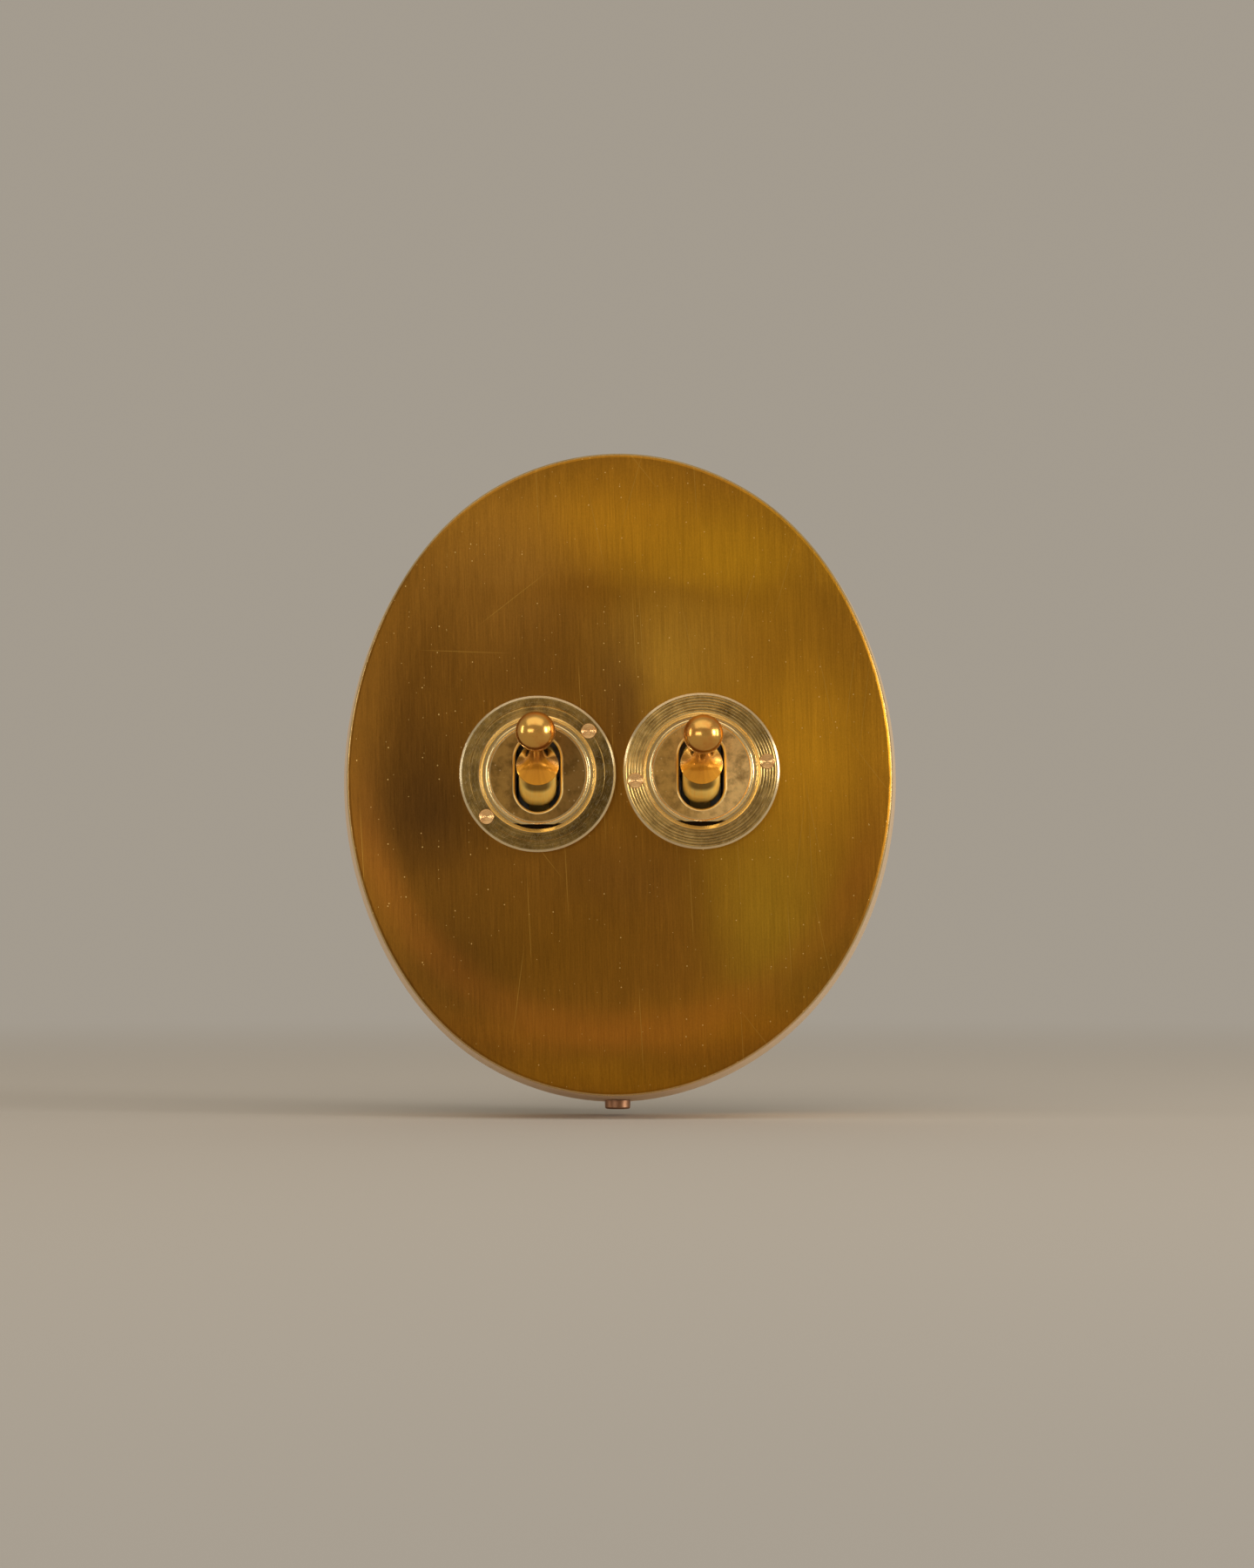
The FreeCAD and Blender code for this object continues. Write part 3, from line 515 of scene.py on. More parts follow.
@dataclass(frozen=True)
class TurnedBrass:
    """A ring's face: fine turning marks round its centre, a painted sheen that changes round it, and
    chamfers painted bright as highlights.
    """

    name: str
    centre: Spot
    face: Colour
    groove: Colour
    level: float = 1.0
    # The next three numbers paint a sheen, lighter or darker by direction round the centre: a painted
    # reflection.
    painted_sheen_rightward: float = 0.0
    painted_sheen_skyward: float = 0.0
    painted_sheen_crosswise: float = 0.0
    bright: Colour = linear(255, 236, 190)
    fine_marks: Grain = Grain(14, 4, 0.5)
    broad_marks: Grain = Grain(1.7, 2, 0.5)
    wear: Grain = Grain(330, 4, 0.65)
    rubbing: Grain = Grain(120, 3, 0.5)
    mark_lean: float = 0.8
    shading: Span = (0.32, 0.66)
    score_start: Span = (0.44, 0.475)
    score_end: Span = (0.51, 0.485)
    score_below: Span = (10, -8)
    outer_chamfer: Span = (18.18, 18.38)
    bore_chamfer: Span = (14.25, 14.05)
    handling: tuple[Span, ...] = ((-35, 0.58), (20, 0.60), (75, 0.61), (-62, 0.62))
    handling_grain: Grain = Grain(1, 3, 0.6)
    handling_across: float = 8.0
    handling_along: float = 0.5
    handling_softness: float = 0.08

    def material(self) -> bpy.types.Material:
        """Paints the finish.

        Returns:
            The material.
        """
        painter = painter_for(self.name)
        x, _, z = painter.axes()
        place = painter.place()
        across, upward = x - self.centre[0], z - self.centre[1]
        radius = distance(across, upward)
        fine = painter.noise(radius, self.fine_marks)
        broad = painter.noise(radius, self.broad_marks)
        worn = painter.noise(place, self.wear)
        rubbed = painter.noise(place, self.rubbing)
        shade = fine * 0.44 + broad * 0.12 + worn * 0.44
        colour = painter.mix(shade.fade(*self.shading), self.groove, self.face)
        scores = broad.fade(*self.score_start) * broad.fade(*self.score_end)
        colour = painter.mix(scores * upward.fade(*self.score_below) * 0.7, colour, self.groove)
        # Painted reflection: the face is made lighter or darker by its direction from the centre.
        painted_sheen_tilt = (across * self.painted_sheen_rightward + upward * self.painted_sheen_skyward) / radius
        painted_sheen_cross = (across * across - upward * upward) / (radius * radius) * self.painted_sheen_crosswise
        colour = painter.tint(colour, self.level + painted_sheen_tilt + painted_sheen_cross)
        scratches = self._handling(painter, x, z) * (0.3 + 0.7 * rubbed)
        colour = painter.mix(scratches * 0.34, colour, self.bright)
        # Painted highlights: both chamfers are painted bright.
        edges = radius.fade(*self.outer_chamfer).larger(radius.fade(*self.bore_chamfer))
        colour = painter.mix(edges, colour, self.bright)
        outward = painter.vector(across / radius, 0.0, upward / radius)
        normal = painter.lean(outward, (fine - 0.5) * self.mark_lean * (1 - edges))
        roughness = 0.20 + worn * 0.14 + rubbed * 0.10 - edges * 0.10
        return painter.finish(Base_Color=colour, Metallic=1.0, Roughness=roughness, Normal=normal)

    def _handling(self, painter: Painter, x: Value, z: Value) -> Value:
        """Fine straight scratches from handling, which cross the turning marks.

        Args:
            painter: The material's painter.
            x: The place across.
            z: The place upwards.

        Returns:
            1 on a scratch and 0 off it.
        """
        marks = []
        for degrees, limit in self.handling:
            across, along = turned_axes(x, z, degrees)
            crosswise = across * self.handling_across + degrees
            where = painter.vector(crosswise, 0.0, along * self.handling_along)
            streaks = painter.noise(where, self.handling_grain)
            marks.append(streaks.fade(limit, limit + self.handling_softness))
        return strongest(marks)


@dataclass(frozen=True)
class SatinBrass:
    """A dial cap: satin gold with small pits and stains, painted highlights, and painted light and shade.

    The bead, the slot's walls and the slot's rim are painted bright as highlights, the gap round the cap is
    painted dark as shade, and the cap is painted lighter or darker on its right side as light falls.
    """

    name: str
    centre: Spot
    ground: Colour
    stain: Colour
    # The colour of the right side is painted light or shade across the cap.
    painted_right_shading: Colour
    bright: Colour = linear(255, 226, 164)
    # The next colour is a painted highlight on the slot's rim.
    lip: Colour = linear(255, 226, 156)
    # The next colour is painted shade for the gap round the cap.
    crevice_shade: Colour = linear(38, 26, 12)
    cloud: Grain = Grain(260, 5, 0.62)
    fine: Grain = Grain(1500, 3, 0.6)
    pits: Dots = Dots(900, 0.22, 0.22)
    left_to_right: Span = (-9.0, 9.0)
    staining: Span = (0.40, 0.70)
    bead: Span = (11.3, 11.8)
    face_edge: Span = (-30.4, -30.32)
    slot_edge: Span = (10.8, 10.6)
    crevice_depth: Span = (-30.0, -29.1)
    crevice_reach: Span = (11.0, 11.6)
    flat: Span = (-11.75, -11.95)
    pit_depth: float = 0.05

    def material(self) -> bpy.types.Material:
        """Paints the finish.

        Returns:
            The material.
        """
        painter = painter_for(self.name)
        x, y, z = painter.axes()
        place = painter.place()
        across, upward = x - self.centre[0], z - self.centre[1]
        radius = distance(across, upward)
        cloud = painter.noise(place, self.cloud)
        fine = painter.noise(place, self.fine)
        pits = painter.specks(place, self.pits)
        # Painted light and shade: the cap turns lighter or darker across to its right side.
        ground = painter.mix(across.fade(*self.left_to_right), self.ground, self.painted_right_shading)
        colour = painter.mix(cloud.fade(*self.staining) * 0.8, ground, self.stain)
        colour = painter.tint(colour, 0.86 + fine * 0.28)
        colour = painter.mix(pits * 0.35, colour, self.bright)
        # Painted highlights: the bead and the slot's walls behind the face are painted bright, the slot's
        # rim brighter.
        bead = radius.fade(*self.bead)
        beyond = y.fade(*self.face_edge)
        lip = beyond * radius.fade(*self.slot_edge)
        colour = painter.mix(bead.larger(beyond) * 0.8, colour, self.bright)
        colour = painter.mix(lip, colour, self.lip)
        # Painted shade: darker deep in the gap round the cap, most at the cap's flat at the bottom.
        deep = y.fade(*self.crevice_depth) * radius.fade(*self.crevice_reach)
        on_flat = upward.fade(*self.flat)
        colour = painter.mix(deep * (0.25 + 0.75 * on_flat), colour, self.crevice_shade)
        normal = painter.bump(cloud * 0.6 + fine * 0.4, self.pit_depth)
        roughness = 0.28 + cloud * 0.16 - bead * 0.18
        return painter.finish(Base_Color=colour, Metallic=1.0, Roughness=roughness, Normal=normal)


@dataclass(frozen=True)
class PolishedBrass:
    """A dolly: gold that hands keep bright, satin on the knob's top, and painted reflections on the bell."""

    name: str
    pivot: Place
    tilt: float
    ground: Colour = linear(232, 180, 92)
    worn: Colour = linear(222, 154, 74)
    # These two colours and the radial streaks below paint reflections on the bell.
    painted_cheek_reflection: Colour = linear(255, 222, 160)
    painted_fan_reflection: Colour = linear(255, 176, 52)
    cloud: Grain = Grain(300, 4, 0.6)
    fine: Grain = Grain(2400, 2, 0.5)
    painted_ray_reflection: Grain = Grain(1, 3, 0.6)
    ray_fineness: float = 5.0
    dots: Dots = Dots(1400, 0.2, 0.10)
    wearing: Span = (0.35, 0.7)
    bell_from: Span = (16, 10)
    knob_from: Span = (20.5, 22.5)
    cheek_from: Span = (-0.8, 0.8)
    handled_from: Span = (-1.0, 3.2)
    fine_depth: float = 0.004

    def material(self) -> bpy.types.Material:
        """Paints the finish.

        Returns:
            The material.
        """
        painter = painter_for(self.name)
        x, y, z = painter.axes()
        place = painter.place()
        along, above = turned_axes(self.pivot[1] - y, z - self.pivot[2], self.tilt)
        across = x - self.pivot[0]
        cloud = painter.noise(place, self.cloud)
        fine = painter.noise(place, self.fine)
        colour = painter.mix(cloud.fade(*self.wearing), self.ground, self.worn)
        # Painted reflections on the bell: pale above its middle, amber below it, with radial streaks.
        on_bell = along.fade(*self.bell_from)
        on_cheek = above.fade(*self.cheek_from)
        radius = distance(across, above).larger(TINY)
        spoke = painter.vector(across / radius * self.ray_fineness, above / radius * self.ray_fineness, 0.0)
        painted_ray_reflection = painter.noise(spoke, self.painted_ray_reflection)
        bell = painter.tint(painter.mix(on_cheek, self.painted_fan_reflection, self.painted_cheek_reflection), 0.7 + painted_ray_reflection * 0.6)
        colour = painter.mix(on_bell, colour, bell)
        dots = painter.specks(place, self.dots)
        colour = painter.tint(colour, 1 - dots * 0.25)
        on_knob = along.fade(*self.knob_from)
        handled = on_knob * above.fade(*self.handled_from)
        normal = painter.bump(fine, self.fine_depth)
        roughness = 0.12 + on_knob * 0.06 + handled * 0.12 + cloud * 0.06 + dots * 0.2
        metallic = 1 - on_bell * (1 - on_cheek) * 0.45
        return painter.finish(Base_Color=colour, Metallic=metallic, Roughness=roughness, Normal=normal)


@dataclass(frozen=True)
class DrumBrass:
    """A drum: fine satin rubbed along the slot, and painted shade just under the bell's rim."""

    name: str
    pivot: Place
    tilt: float
    ground: Colour = linear(255, 218, 116)
    worn: Colour = linear(255, 200, 88)
    # The next colour is painted shade under the bell's rim.
    painted_rim_shade: Colour = linear(78, 50, 18)
    cloud: Grain = Grain(300, 4, 0.6)
    rubbing: Grain = Grain(1, 4, 0.7)
    rubbing_scales: Place = (3, 0.2, 0.2)
    rubbing_lean: float = 0.4
    wearing: Span = (0.35, 0.65)
    painted_shade_reach: Span = (3.7, 4.8)
    painted_shade_width_squared: Span = (17, 4)

    def material(self) -> bpy.types.Material:
        """Paints the finish.

        Returns:
            The material.
        """
        painter = painter_for(self.name)
        x, y, z = painter.axes()
        lean = math.radians(self.tilt)
        along = (self.pivot[1] - y) * math.cos(lean) + (z - self.pivot[2]) * math.sin(lean)
        across = x - self.pivot[0]
        cloud = painter.noise(painter.place(), self.cloud)
        rubbed = painter.stretched((x, y, z), self.rubbing_scales, self.rubbing)
        colour = painter.mix((rubbed * 0.7 + cloud * 0.3).fade(*self.wearing), self.ground, self.worn)
        # Painted shade: darker and more metallic on the drum just under the bell's rim.
        under = along.fade(*self.painted_shade_reach) * (across * across).fade(*self.painted_shade_width_squared)
        colour = painter.mix(under * 0.8, colour, self.painted_rim_shade)
        normal = painter.lean((1.0, 0.0, 0.0), (rubbed - 0.5) * self.rubbing_lean)
        roughness = 0.24 + cloud * 0.12
        metallic = 0.25 + under * 0.5 + cloud * 0.1
        return painter.finish(Base_Color=colour, Metallic=metallic, Roughness=roughness, Normal=normal)


@dataclass(frozen=True)
class TurnedCopper:
    """Rivets and the cover screw: copper rose metal with turning marks round the nearest head."""

    name: str
    heads: tuple[Spot, ...] = ()
    light: Colour = linear(255, 218, 154)
    dark: Colour = linear(234, 170, 104)
    cloud: Grain = Grain(500, 4, 0.6)
    marks: Grain = Grain(26, 3, 0.5)
    mark_lean: float = 3.4
    cloud_depth: float = 0.03

    def material(self) -> bpy.types.Material:
        """Paints the finish.

        Returns:
            The material.
        """
        painter = painter_for(self.name)
        cloud = painter.noise(painter.place(), self.cloud)
        colour = painter.mix(cloud, self.light, self.dark)
        if self.heads:
            across, upward, radius = self._nearest(painter)
            marks = painter.noise(radius, self.marks)
            outward = painter.vector(across / radius, 0.0, upward / radius)
            normal = painter.lean(outward, (marks - 0.5) * self.mark_lean)
            roughness = 0.14 + marks * 0.10
        else:
            normal = painter.bump(cloud, self.cloud_depth)
            roughness = 0.30 + cloud * 0.2
        return painter.finish(Base_Color=colour, Metallic=1.0, Roughness=roughness, Normal=normal)

    def _nearest(self, painter: Painter) -> tuple[Value, Value, Value]:
        """Finds the nearer of the two heads.

        Args:
            painter: The material's painter.

        Returns:
            The offsets across and upwards from it, and the distance.
        """
        x, _, z = painter.axes()
        spots = []
        for head in self.heads:
            across, upward = x - head[0], z - head[1]
            spots.append((across, upward, distance(across, upward).larger(0.1 * TINY)))
        first, second = spots
        pick = (first[2] - second[2]).fade(-TINY, TINY)
        across = first[0] * (1 - pick) + second[0] * pick
        upward = first[1] * (1 - pick) + second[1] * pick
        return across, upward, first[2].smaller(second[2])


@dataclass(frozen=True)
class PlainMetal:
    """A hidden metal piece: drawn or plated, with faint clouds and fine lines."""

    name: str
    ground: Colour
    shade: Colour
    roughness: float
    lines: float = 6.0
    cloud: Grain = Grain(140, 5, 0.6)
    drawing: Grain = Grain(1, 3, 0.6)
    drawn_out: float = 0.2
    line_depth: float = 0.01

    def material(self) -> bpy.types.Material:
        """Paints the finish.

        Returns:
            The material.
        """
        painter = painter_for(self.name)
        cloud = painter.noise(painter.place(), self.cloud)
        scales = (self.lines, self.lines, self.drawn_out)
        drawn = painter.stretched(painter.axes(), scales, self.drawing)
        colour = painter.mix(cloud * 0.6 + drawn * 0.4, self.ground, self.shade)
        normal = painter.bump(drawn, self.line_depth)
        roughness = self.roughness - 0.06 + cloud * 0.16
        return painter.finish(Base_Color=colour, Metallic=1.0, Roughness=roughness, Normal=normal)


@dataclass(frozen=True)
class Moulded:
    """A moulded or glazed piece that is no metal."""

    name: str
    ground: Colour
    shade: Colour
    roughness: float
    grain: Grain = Grain(900, 3, 0.6)
    cloud: Grain = Grain(90, 4, 0.6)
    coat: float = 0.0
    shading: Span = (0.3, 0.7)
    grain_depth: float = 0.02

    def material(self) -> bpy.types.Material:
        """Paints the finish.

        Returns:
            The material.
        """
        painter = painter_for(self.name)
        place = painter.place()
        cloud = painter.noise(place, self.cloud)
        grain = painter.noise(place, self.grain)
        colour = painter.mix(cloud.fade(*self.shading), self.ground, self.shade)
        colour = painter.tint(colour, 0.94 + grain * 0.12)
        normal = painter.bump(grain, self.grain_depth)
        roughness = self.roughness - 0.05 + grain * 0.1
        return painter.finish(Base_Color=colour, Roughness=roughness, Coat_Weight=self.coat, Normal=normal)


# The rings' colours, and the numbers of each ring's painted sheen.
RING_LOOKS = {
    Side.LEFT: {
        "face": linear(158, 126, 66), "groove": linear(74, 54, 21), "level": 1.08,
        "painted_sheen_rightward": -0.12, "painted_sheen_skyward": 0.22, "painted_sheen_crosswise": -0.22,
    },
    Side.RIGHT: {
        "face": linear(198, 166, 100), "groove": linear(106, 82, 38), "level": 1.12,
        "painted_sheen_rightward": -0.25, "painted_sheen_skyward": -0.04, "painted_sheen_crosswise": 0.20,
    },
}
# The caps' colours; the last of each is painted light or shade on the cap's right side.
CAP_LOOKS = {
    Side.LEFT: {
        "ground": linear(164, 124, 62), "stain": linear(98, 71, 32), "painted_right_shading": linear(142, 106, 54),
    },
    Side.RIGHT: {
        "ground": linear(200, 154, 80), "stain": linear(130, 97, 50), "painted_right_shading": linear(255, 210, 136),
    },
}
RIVET_ANGLES = {Side.LEFT: 40.0, Side.RIGHT: 8.3}
TILTS = {Side.LEFT: 20.2, Side.RIGHT: 17.0}


class Hidden(Enum):
    """The finishes of the hidden pieces."""

    CONTACT = PlainMetal("contact_brass", linear(214, 180, 104), linear(184, 146, 76), 0.28)
    BRIGHT_STEEL = PlainMetal("bright_steel", linear(206, 206, 208), linear(168, 168, 172), 0.22, 14.0)
    BLACK_STEEL = PlainMetal("black_steel", linear(52, 46, 40), linear(34, 30, 28), 0.4, 14.0)
    PLATED_STEEL = PlainMetal("plated_steel", linear(196, 198, 194), linear(158, 160, 160), 0.38, 1.2)
    MOULDING = Moulded("moulding", linear(52, 42, 36), linear(38, 31, 28), 0.42)
    INSULATOR = Moulded("insulator", linear(222, 214, 194), linear(206, 196, 172), 0.5)
    PORCELAIN = Moulded(
        "porcelain", linear(238, 234, 224), linear(226, 220, 206), 0.28, Grain(300, 3, 0.6), coat=0.5
    )


@dataclass(frozen=True)
class Turning:
    """One profile of (radius, distance along the axis) turned about an axis, in millimetres."""

    profile: tuple[Spot, ...]
    origin: Vector
    axis: Vector
    closed: bool = False
    finish: int = 0
    segments: int = 96

    def add_to(self, corners: list[Vector], faces: list[tuple[int, ...]], finishes: list[int]) -> None:
        """Adds its corners and faces to a mesh's lists.

        Args:
            corners: The mesh's corners, in metres.
            faces: The mesh's faces.
            finishes: Each face's place in the mesh's materials.
        """
        across = self.axis.orthogonal().normalized()
        upward = self.axis.cross(across)
        rows = []
        for radius, along in self.profile:
            count = self.segments if radius > 0 else 1
            rows.append(list(range(len(corners), len(corners) + count)))
            for index in range(count):
                angle = 2 * math.pi * index / count
                spoke = across * math.cos(angle) + upward * math.sin(angle)
                corners.append((self.origin + self.axis * along + spoke * radius) * MM)
        if self.closed:
            rows.append(rows[0])
        for near, far in zip(rows, rows[1:]):
            band = self._band(near, far)
            faces.extend(band)
            finishes.extend([self.finish] * len(band))

    @staticmethod
    def _band(near: list[int], far: list[int]) -> list[tuple[int, ...]]:
        """Joins two rows of corners, where a row of one is a tip.

        Args:
            near: The corners of the first row.
            far: The corners of the second row.

        Returns:
            The faces between them.
        """
        band: list[tuple[int, ...]] = []
        for index in range(max(len(near), len(far))):
            ahead = index + 1
            if len(near) == 1:
                band.append((near[0], far[index], far[ahead % len(far)]))
            elif len(far) == 1:
                band.append((near[index], far[0], near[ahead % len(near)]))
            else:
                band.append((near[index], far[index], far[ahead % len(far)], near[ahead % len(near)]))
        return band


def turned_piece(
    name: str, turnings: list[Turning], finishes: list[bpy.types.Material], body: str
) -> bpy.types.Object:
    """Makes one object from several turnings.

    Args:
        name: Its name.
        turnings: The turnings.
        finishes: Its materials.
        body: The body that it moves with.

    Returns:
        The object.
    """
    corners: list[Vector] = []
    faces: list[tuple[int, ...]] = []
    places: list[int] = []
    for turning in turnings:
        turning.add_to(corners, faces, places)
    mesh = bpy.data.meshes.new(name)
    mesh.from_pydata(corners, [], faces)
    for finish in finishes:
        mesh.materials.append(finish)
    for face, place in zip(mesh.polygons, places):
        face.material_index = place
    shape = bmesh.new()
    shape.from_mesh(mesh)
    bmesh.ops.recalc_face_normals(shape, faces=shape.faces)
    shape.to_mesh(mesh)
    shape.free()
    mesh.shade_smooth()
    mesh.set_sharp_from_angle(angle=math.radians(SHARP_ANGLE))
    piece = bpy.data.objects.new(name, mesh)
    bpy.context.collection.objects.link(piece)
    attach(piece, body)
    LOG.info("turned %s", name)
    return piece


@dataclass(frozen=True)
class Dolly:
    """The lever's outside: knob, trumpet neck and rim, and the drum that turns in the slot."""

    side: Side
    pivot: Vector
    tilt: float
    length: float = 26.5
    knob_radius: float = 4.69
    neck_radius: float = 1.65
    neck_sharpness: float = 4.5
    rim_radius: float = 5.1
    rim_reach: float = 5.8
    rim_land: float = 0.3
    rim_bevel: float = 0.1
    rim_undercut: float = 0.4
    root_radius: float = 3.2
    drum_radius: float = 7.55
    drum_half: float = 4.5
    drum_flat_half: float = 0.6
    pin_hole: float = 1.3
    tail_radius: float = 2.3
    tail_chamfer: float = 0.35
    tail_bore: float = 1.55
    tail_floor: float = -4.6
    tail_end: float = -9.2
    flare_ease: float = 1.6
    steps: int = 28

    def knob_and_bell(self) -> tuple[Spot, ...]:
        """Draws the profile from the knob's tip to under the rim.

        Returns:
            Pairs of a radius and a distance ahead of the pin.
        """
        ball = self.knob_radius
        points: list[Spot] = [(0.0, self.length + ball)]
        last = math.pi - math.asin(self.neck_radius / ball)
        for step in range(1, self.steps + 1):
            angle = last * step / self.steps
            points.append((ball * math.sin(angle), self.length + ball * math.cos(angle)))
        seat = points[-1][1]
        reach = self.rim_reach
        for step in range(1, self.steps + 1):
            share = 1 - (1 - step / self.steps) ** self.flare_ease
            flare = (self.rim_radius - self.rim_bevel - self.neck_radius) * share**self.neck_sharpness
            points.append((self.neck_radius + flare, seat + (reach - seat) * share))
        under, start = reach - self.rim_land - self.rim_undercut, 2 * self.pin_hole
        rim = [(self.rim_radius, reach - self.rim_bevel), (self.rim_radius, reach - self.rim_land)]
        root = [(self.root_radius, under), (self.root_radius, start), (0.0, start)]
        return tuple(points + rim + root)

    def drum(self) -> tuple[Spot, ...]:
        """Draws the drum's profile along the pin, with ends as round as the slot's.

        Returns:
            Pairs of a radius and a distance to the right of the middle.
        """
        bend = self.drum_half - self.drum_flat_half
        low = self.drum_radius - bend
        half: list[Spot] = []
        for step in range(self.steps // 2 + 1):
            angle = math.pi * step / (self.steps // 2) / 2
            half.append((low + bend * math.sin(angle), self.drum_flat_half + bend * math.cos(angle)))
        near = [(radius, -along) for radius, along in half]
        ends = [(self.pin_hole, self.drum_half), (self.pin_hole, -self.drum_half)]
        return tuple(near + half[::-1] + ends)

    def tail(self) -> tuple[Spot, ...]:
        """Draws the bored tail's profile, behind the pin.

        Returns:
            Pairs of a radius and a distance ahead of the pin.
        """
        start = -2 * self.pin_hole
        inner = self.tail_radius - self.tail_chamfer
        bevel = self.tail_end + self.tail_chamfer
        outer = [(0.0, start), (self.tail_radius, start), (self.tail_radius, bevel)]
        bore = [(inner, self.tail_end), (self.tail_bore, self.tail_end), (self.tail_bore, self.tail_floor)]
        return tuple(outer + bore + [(0.0, self.tail_floor)])

    def build(self, polished: bpy.types.Material, satin: bpy.types.Material) -> bpy.types.Object:
        """Makes the dolly at its tilt.

        Args:
            polished: The finish of knob, neck and rim.
            satin: The finish of the drum and the tail.

        Returns:
            The object.
        """
        lean = math.radians(self.tilt)
        ahead = Vector((0.0, -math.cos(lean), math.sin(lean)))
        turnings = [
            Turning(self.knob_and_bell(), self.pivot, ahead),
            Turning(self.drum(), self.pivot, Vector((1.0, 0.0, 0.0)), True, 1),
            Turning(self.tail(), self.pivot, ahead, False, 1),
        ]
        name, body = self.side.value + "_dolly_form", self.side.value + "_dolly"
        return turned_piece(name, turnings, [polished, satin], body)


def dress(name: str, material: bpy.types.Material) -> None:
    """Gives a CAD node its finish and reports it.

    Args:
        name: The node's name.
        material: Its finish.
    """
    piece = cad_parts[name]
    for slot in piece.material_slots:
        slot.material = material
    LOG.info("dressed %s in %s", name, material.name)


@dataclass
class CoverAndPlate:
    """The brass cover, its screw, and the steel plate on the wall with its earth terminal."""

    hidden: dict[Hidden, bpy.types.Material]
    screw_light: Colour = linear(190, 146, 112)
    screw_dark: Colour = linear(128, 86, 62)

    def build(self) -> None:
        """Dresses the pieces."""
        screw_copper = TurnedCopper("cover_screw_copper", (), self.screw_light, self.screw_dark)
        dress("cover", CoverBrass().material())
        dress("cover_screw", screw_copper.material())
        dress("back_plate", self.hidden[Hidden.PLATED_STEEL])
        dress("earth_pillar", self.hidden[Hidden.CONTACT])
        dress("earth_screw", self.hidden[Hidden.CONTACT])


@dataclass
class DollySwitch:
    """One switch: ring, rivets, cap, dolly and the works behind them.

    The rivets' profile is pairs of a radius and a depth, from the dished head to the spread tail.
    """

    side: Side
    hidden: dict[Hidden, bpy.types.Material]
    pitch: float = 39.4
    lift: float = 0.7
    pivot_y: float = -26.8
    rivet_circle: float = 16.025
    rivet_profile: tuple[Spot, ...] = (
        (0.0, -30.86), (0.3, -30.88), (1.68, -31.12), (1.76, -31.12), (1.85, -31.0),
        (0.999, -30.149), (0.999, -23.2), (1.698, -23.2), (0.999, -22.4), (0.0, -22.4),
    )
    works: tuple[tuple[str, Hidden], ...] = (
        ("pivot_pin", Hidden.BLACK_STEEL),
        ("plunger", Hidden.INSULATOR),
        ("plunger_spring", Hidden.BRIGHT_STEEL),
        ("rocker", Hidden.CONTACT),
        ("switch_body", Hidden.MOULDING),
        ("contact_base", Hidden.PORCELAIN),
        ("base_screws", Hidden.BRIGHT_STEEL),
        ("upper_terminal", Hidden.CONTACT),
        ("lower_terminal", Hidden.CONTACT),
        ("common_terminal", Hidden.CONTACT),
        ("terminal_screws", Hidden.CONTACT),
    )

    def named(self, piece: str) -> str:
        """A name with this side's before it."""
        return f"{self.side.value}_{piece}"

    def centre(self) -> Spot:
        """The switch's axis on the wall, in millimetres."""
        sign = -1 if self.side is Side.LEFT else 1
        return sign * self.pitch / 2, sign * self.lift / 2

    def rivets(self) -> tuple[Spot, Spot]:
        """Works out the places of the ring's two rivets.

        Returns:
            The places on the wall, in millimetres.
        """
        angle = math.radians(RIVET_ANGLES[self.side])
        across, upward = self.rivet_circle * math.cos(angle), self.rivet_circle * math.sin(angle)
        x, z = self.centre()
        return (x + across, z + upward), (x - across, z - upward)

    def build(self) -> None:
        """Dresses the switch's pieces and turns its dolly and rivets."""
        x, z = self.centre()
        pivot = (x, self.pivot_y, z)
        tilt = TILTS[self.side]
        rivet_finish = TurnedCopper(self.named("rivet_copper"), self.rivets()).material()
        lever_finish = PolishedBrass(self.named("lever_brass"), pivot, tilt).material()
        drum_finish = DrumBrass(self.named("drum_brass"), pivot, tilt).material()
        ring_brass = TurnedBrass(self.named("ring_brass"), (x, z), **RING_LOOKS[self.side])
        cap_brass = SatinBrass(self.named("cap_brass"), (x, z), **CAP_LOOKS[self.side])
        dress(self.named("bezel_ring"), ring_brass.material())
        dress(self.named("bezel_rivets"), rivet_finish)
        dress(self.named("dial_cap"), cap_brass.material())
        dress(self.named("lever"), lever_finish)
        for piece, choice in self.works:
            dress(self.named(piece), self.hidden[choice])
        dolly = Dolly(self.side, Vector(pivot), tilt).build(lever_finish, drum_finish)
        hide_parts(self.side.value + "_lever")
        depth = Vector((0.0, 1.0, 0.0))
        rivets = [Turning(self.rivet_profile, Vector((rx, 0.0, rz)), depth) for rx, rz in self.rivets()]
        made = turned_piece(self.side.value + "_turned_rivets", rivets, [rivet_finish], "case")
        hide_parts(self.side.value + "_bezel_rivets")


@dataclass(frozen=True)
class Lamp:
    """A soft area lamp that points at the object."""

    name: str
    place: Place
    width: float
    height: float
    watts: float
    colour: Colour = (1.0, 1.0, 1.0)

    def build(self, target: Vector) -> None:
        """Makes the lamp.

        Args:
            target: Where it points.
        """
        data = bpy.data.lights.new(self.name, "AREA")
        data.shape = "RECTANGLE"
        data.size = self.width
        data.size_y = self.height
        data.energy = self.watts
        data.color = self.colour
        lamp = bpy.data.objects.new(self.name, data)
        lamp.location = self.place
        lamp.rotation_euler = (target - Vector(self.place)).to_track_quat("-Z", "Y").to_euler()
        lamp.visible_camera = False
        bpy.context.collection.objects.link(lamp)


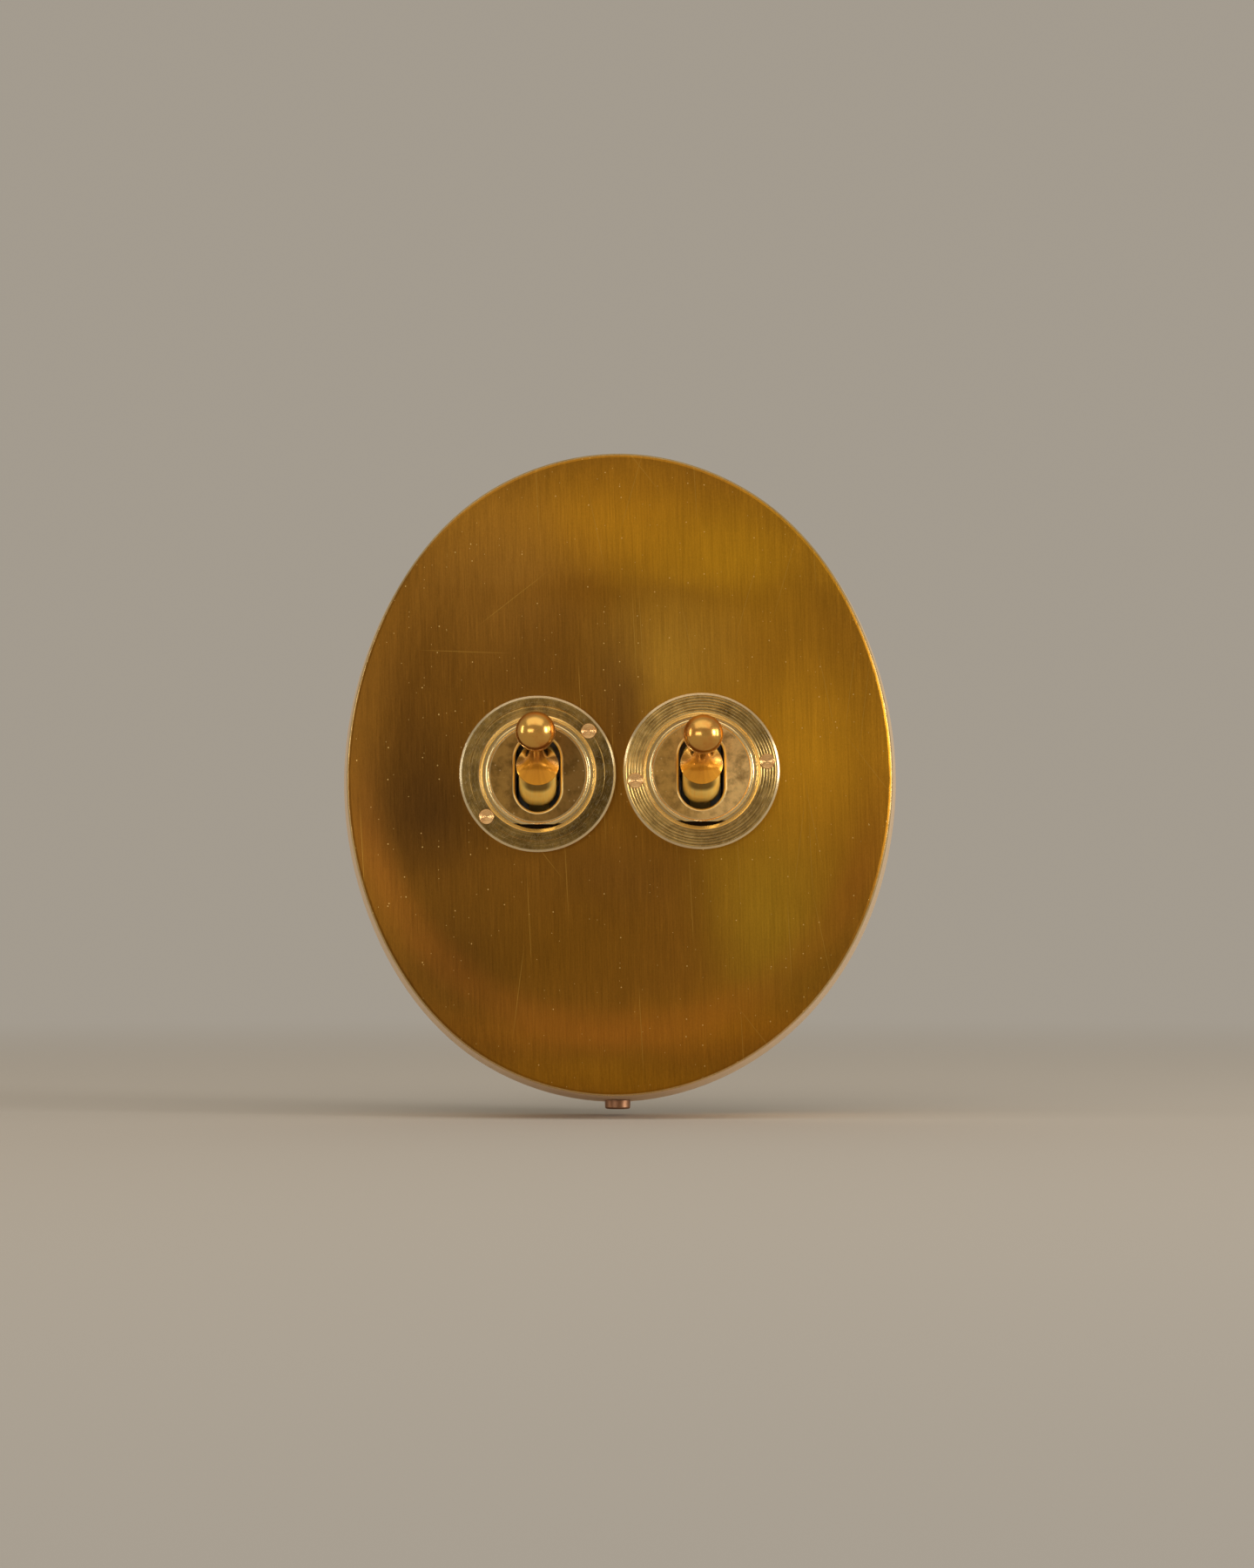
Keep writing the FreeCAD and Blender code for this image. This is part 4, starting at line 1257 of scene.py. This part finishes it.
@dataclass
class Studio:
    """The pale floor, the soft light and the camera at the photograph's angle."""

    pale: Colour = (0.56, 0.515, 0.45)
    backdrop: Colour = (0.37, 0.33, 0.275)
    floor_z: float = -0.0835
    floor_half: float = 4.0
    floor_fade: Span = (150, 900)
    aim: Place = (0.0018, -0.028, -0.0027)
    camera_distance: float = 0.8925
    camera_below: float = 2.05
    lens: float = 85.0
    sensor_height: float = 36.0
    nearest: float = 0.01
    lamps: tuple[Lamp, ...] = (
        Lamp("window", (1.12, -0.56, 0.18), 0.30, 0.50, 6.6, (1.0, 0.98, 0.95)),
        Lamp("side_window", (1.25, -0.05, 0.16), 0.30, 0.60, 2.0, (1.0, 0.98, 0.95)),
        Lamp("ceiling_card", (-0.05, -0.70, 1.25), 2.4, 1.3, 8.0, (1.0, 0.97, 0.93)),
        Lamp("front_card", (-0.50, -1.00, -0.02), 0.60, 0.40, 1.8),
        Lamp("left_card", (-1.20, -0.20, 0.05), 0.16, 0.90, 2.6, (1.0, 0.95, 0.90)),
    )

    def build(self) -> None:
        """Makes the stage, the lamps, the world and the camera."""
        self._floor()
        self._world()
        for lamp in self.lamps:
            lamp.build(Vector(self.aim))
        self._camera()
        bpy.context.scene.view_settings.view_transform = "Standard"

    def _floor(self) -> None:
        """A plain pale floor that fades into the background far away."""
        half, low = self.floor_half, self.floor_z
        mesh = bpy.data.meshes.new("floor")
        corners = [(-half, -half, low), (half, -half, low), (half, half, low), (-half, half, low)]
        mesh.from_pydata(corners, [], [(0, 1, 2, 3)])
        floor = bpy.data.objects.new("floor", mesh)
        bpy.context.collection.objects.link(floor)
        painter = painter_for("floor_paint")
        x, y, _ = painter.axes()
        matt = painter.node("ShaderNodeBsdfDiffuse", None, {"Color": self.pale})
        glow = painter.node("ShaderNodeEmission", None, {"Color": self.backdrop, "Strength": 1.0})
        far = distance(x, y).fade(*self.floor_fade)
        sockets = {0: far, 1: matt.outputs[0], 2: glow.outputs[0]}
        blend = painter.node("ShaderNodeMixShader", None, sockets)
        painter.node("ShaderNodeOutputMaterial", None, {0: blend.outputs[0]})
        mesh.materials.append(painter.owner)

    def _world(self) -> None:
        """A pale world: the background, and what the metal reflects."""
        world = bpy.data.worlds.new("studio")
        bpy.context.scene.world = world
        painter = Painter(world)
        light = painter.node("ShaderNodeBackground", None, {"Color": self.backdrop, "Strength": 1.0})
        painter.node("ShaderNodeOutputWorld", None, {0: light.outputs[0]})

    def _camera(self) -> None:
        """The camera, a little below the middle of the cover and level with it."""
        data = bpy.data.cameras.new("camera")
        data.sensor_fit = "VERTICAL"
        data.sensor_height = self.sensor_height
        data.lens = self.lens
        data.clip_start = self.nearest
        camera = bpy.data.objects.new("camera", data)
        below = math.radians(self.camera_below)
        back = Vector((0.0, -math.cos(below), -math.sin(below))) * self.camera_distance
        camera.location = Vector(self.aim) + back
        camera.rotation_euler = (math.radians(90) + below, 0.0, 0.0)
        bpy.context.collection.objects.link(camera)
        bpy.context.scene.camera = camera


def main() -> None:
    """Builds the sub-assemblies in order."""
    logging.basicConfig(level=logging.INFO, format="%(name)s: %(message)s")
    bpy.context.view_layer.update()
    Studio().build()
    hidden = {choice: choice.value.material() for choice in Hidden}
    CoverAndPlate(hidden).build()
    for side in Side:
        DollySwitch(side, hidden).build()


if __name__ == "__main__":
    main()
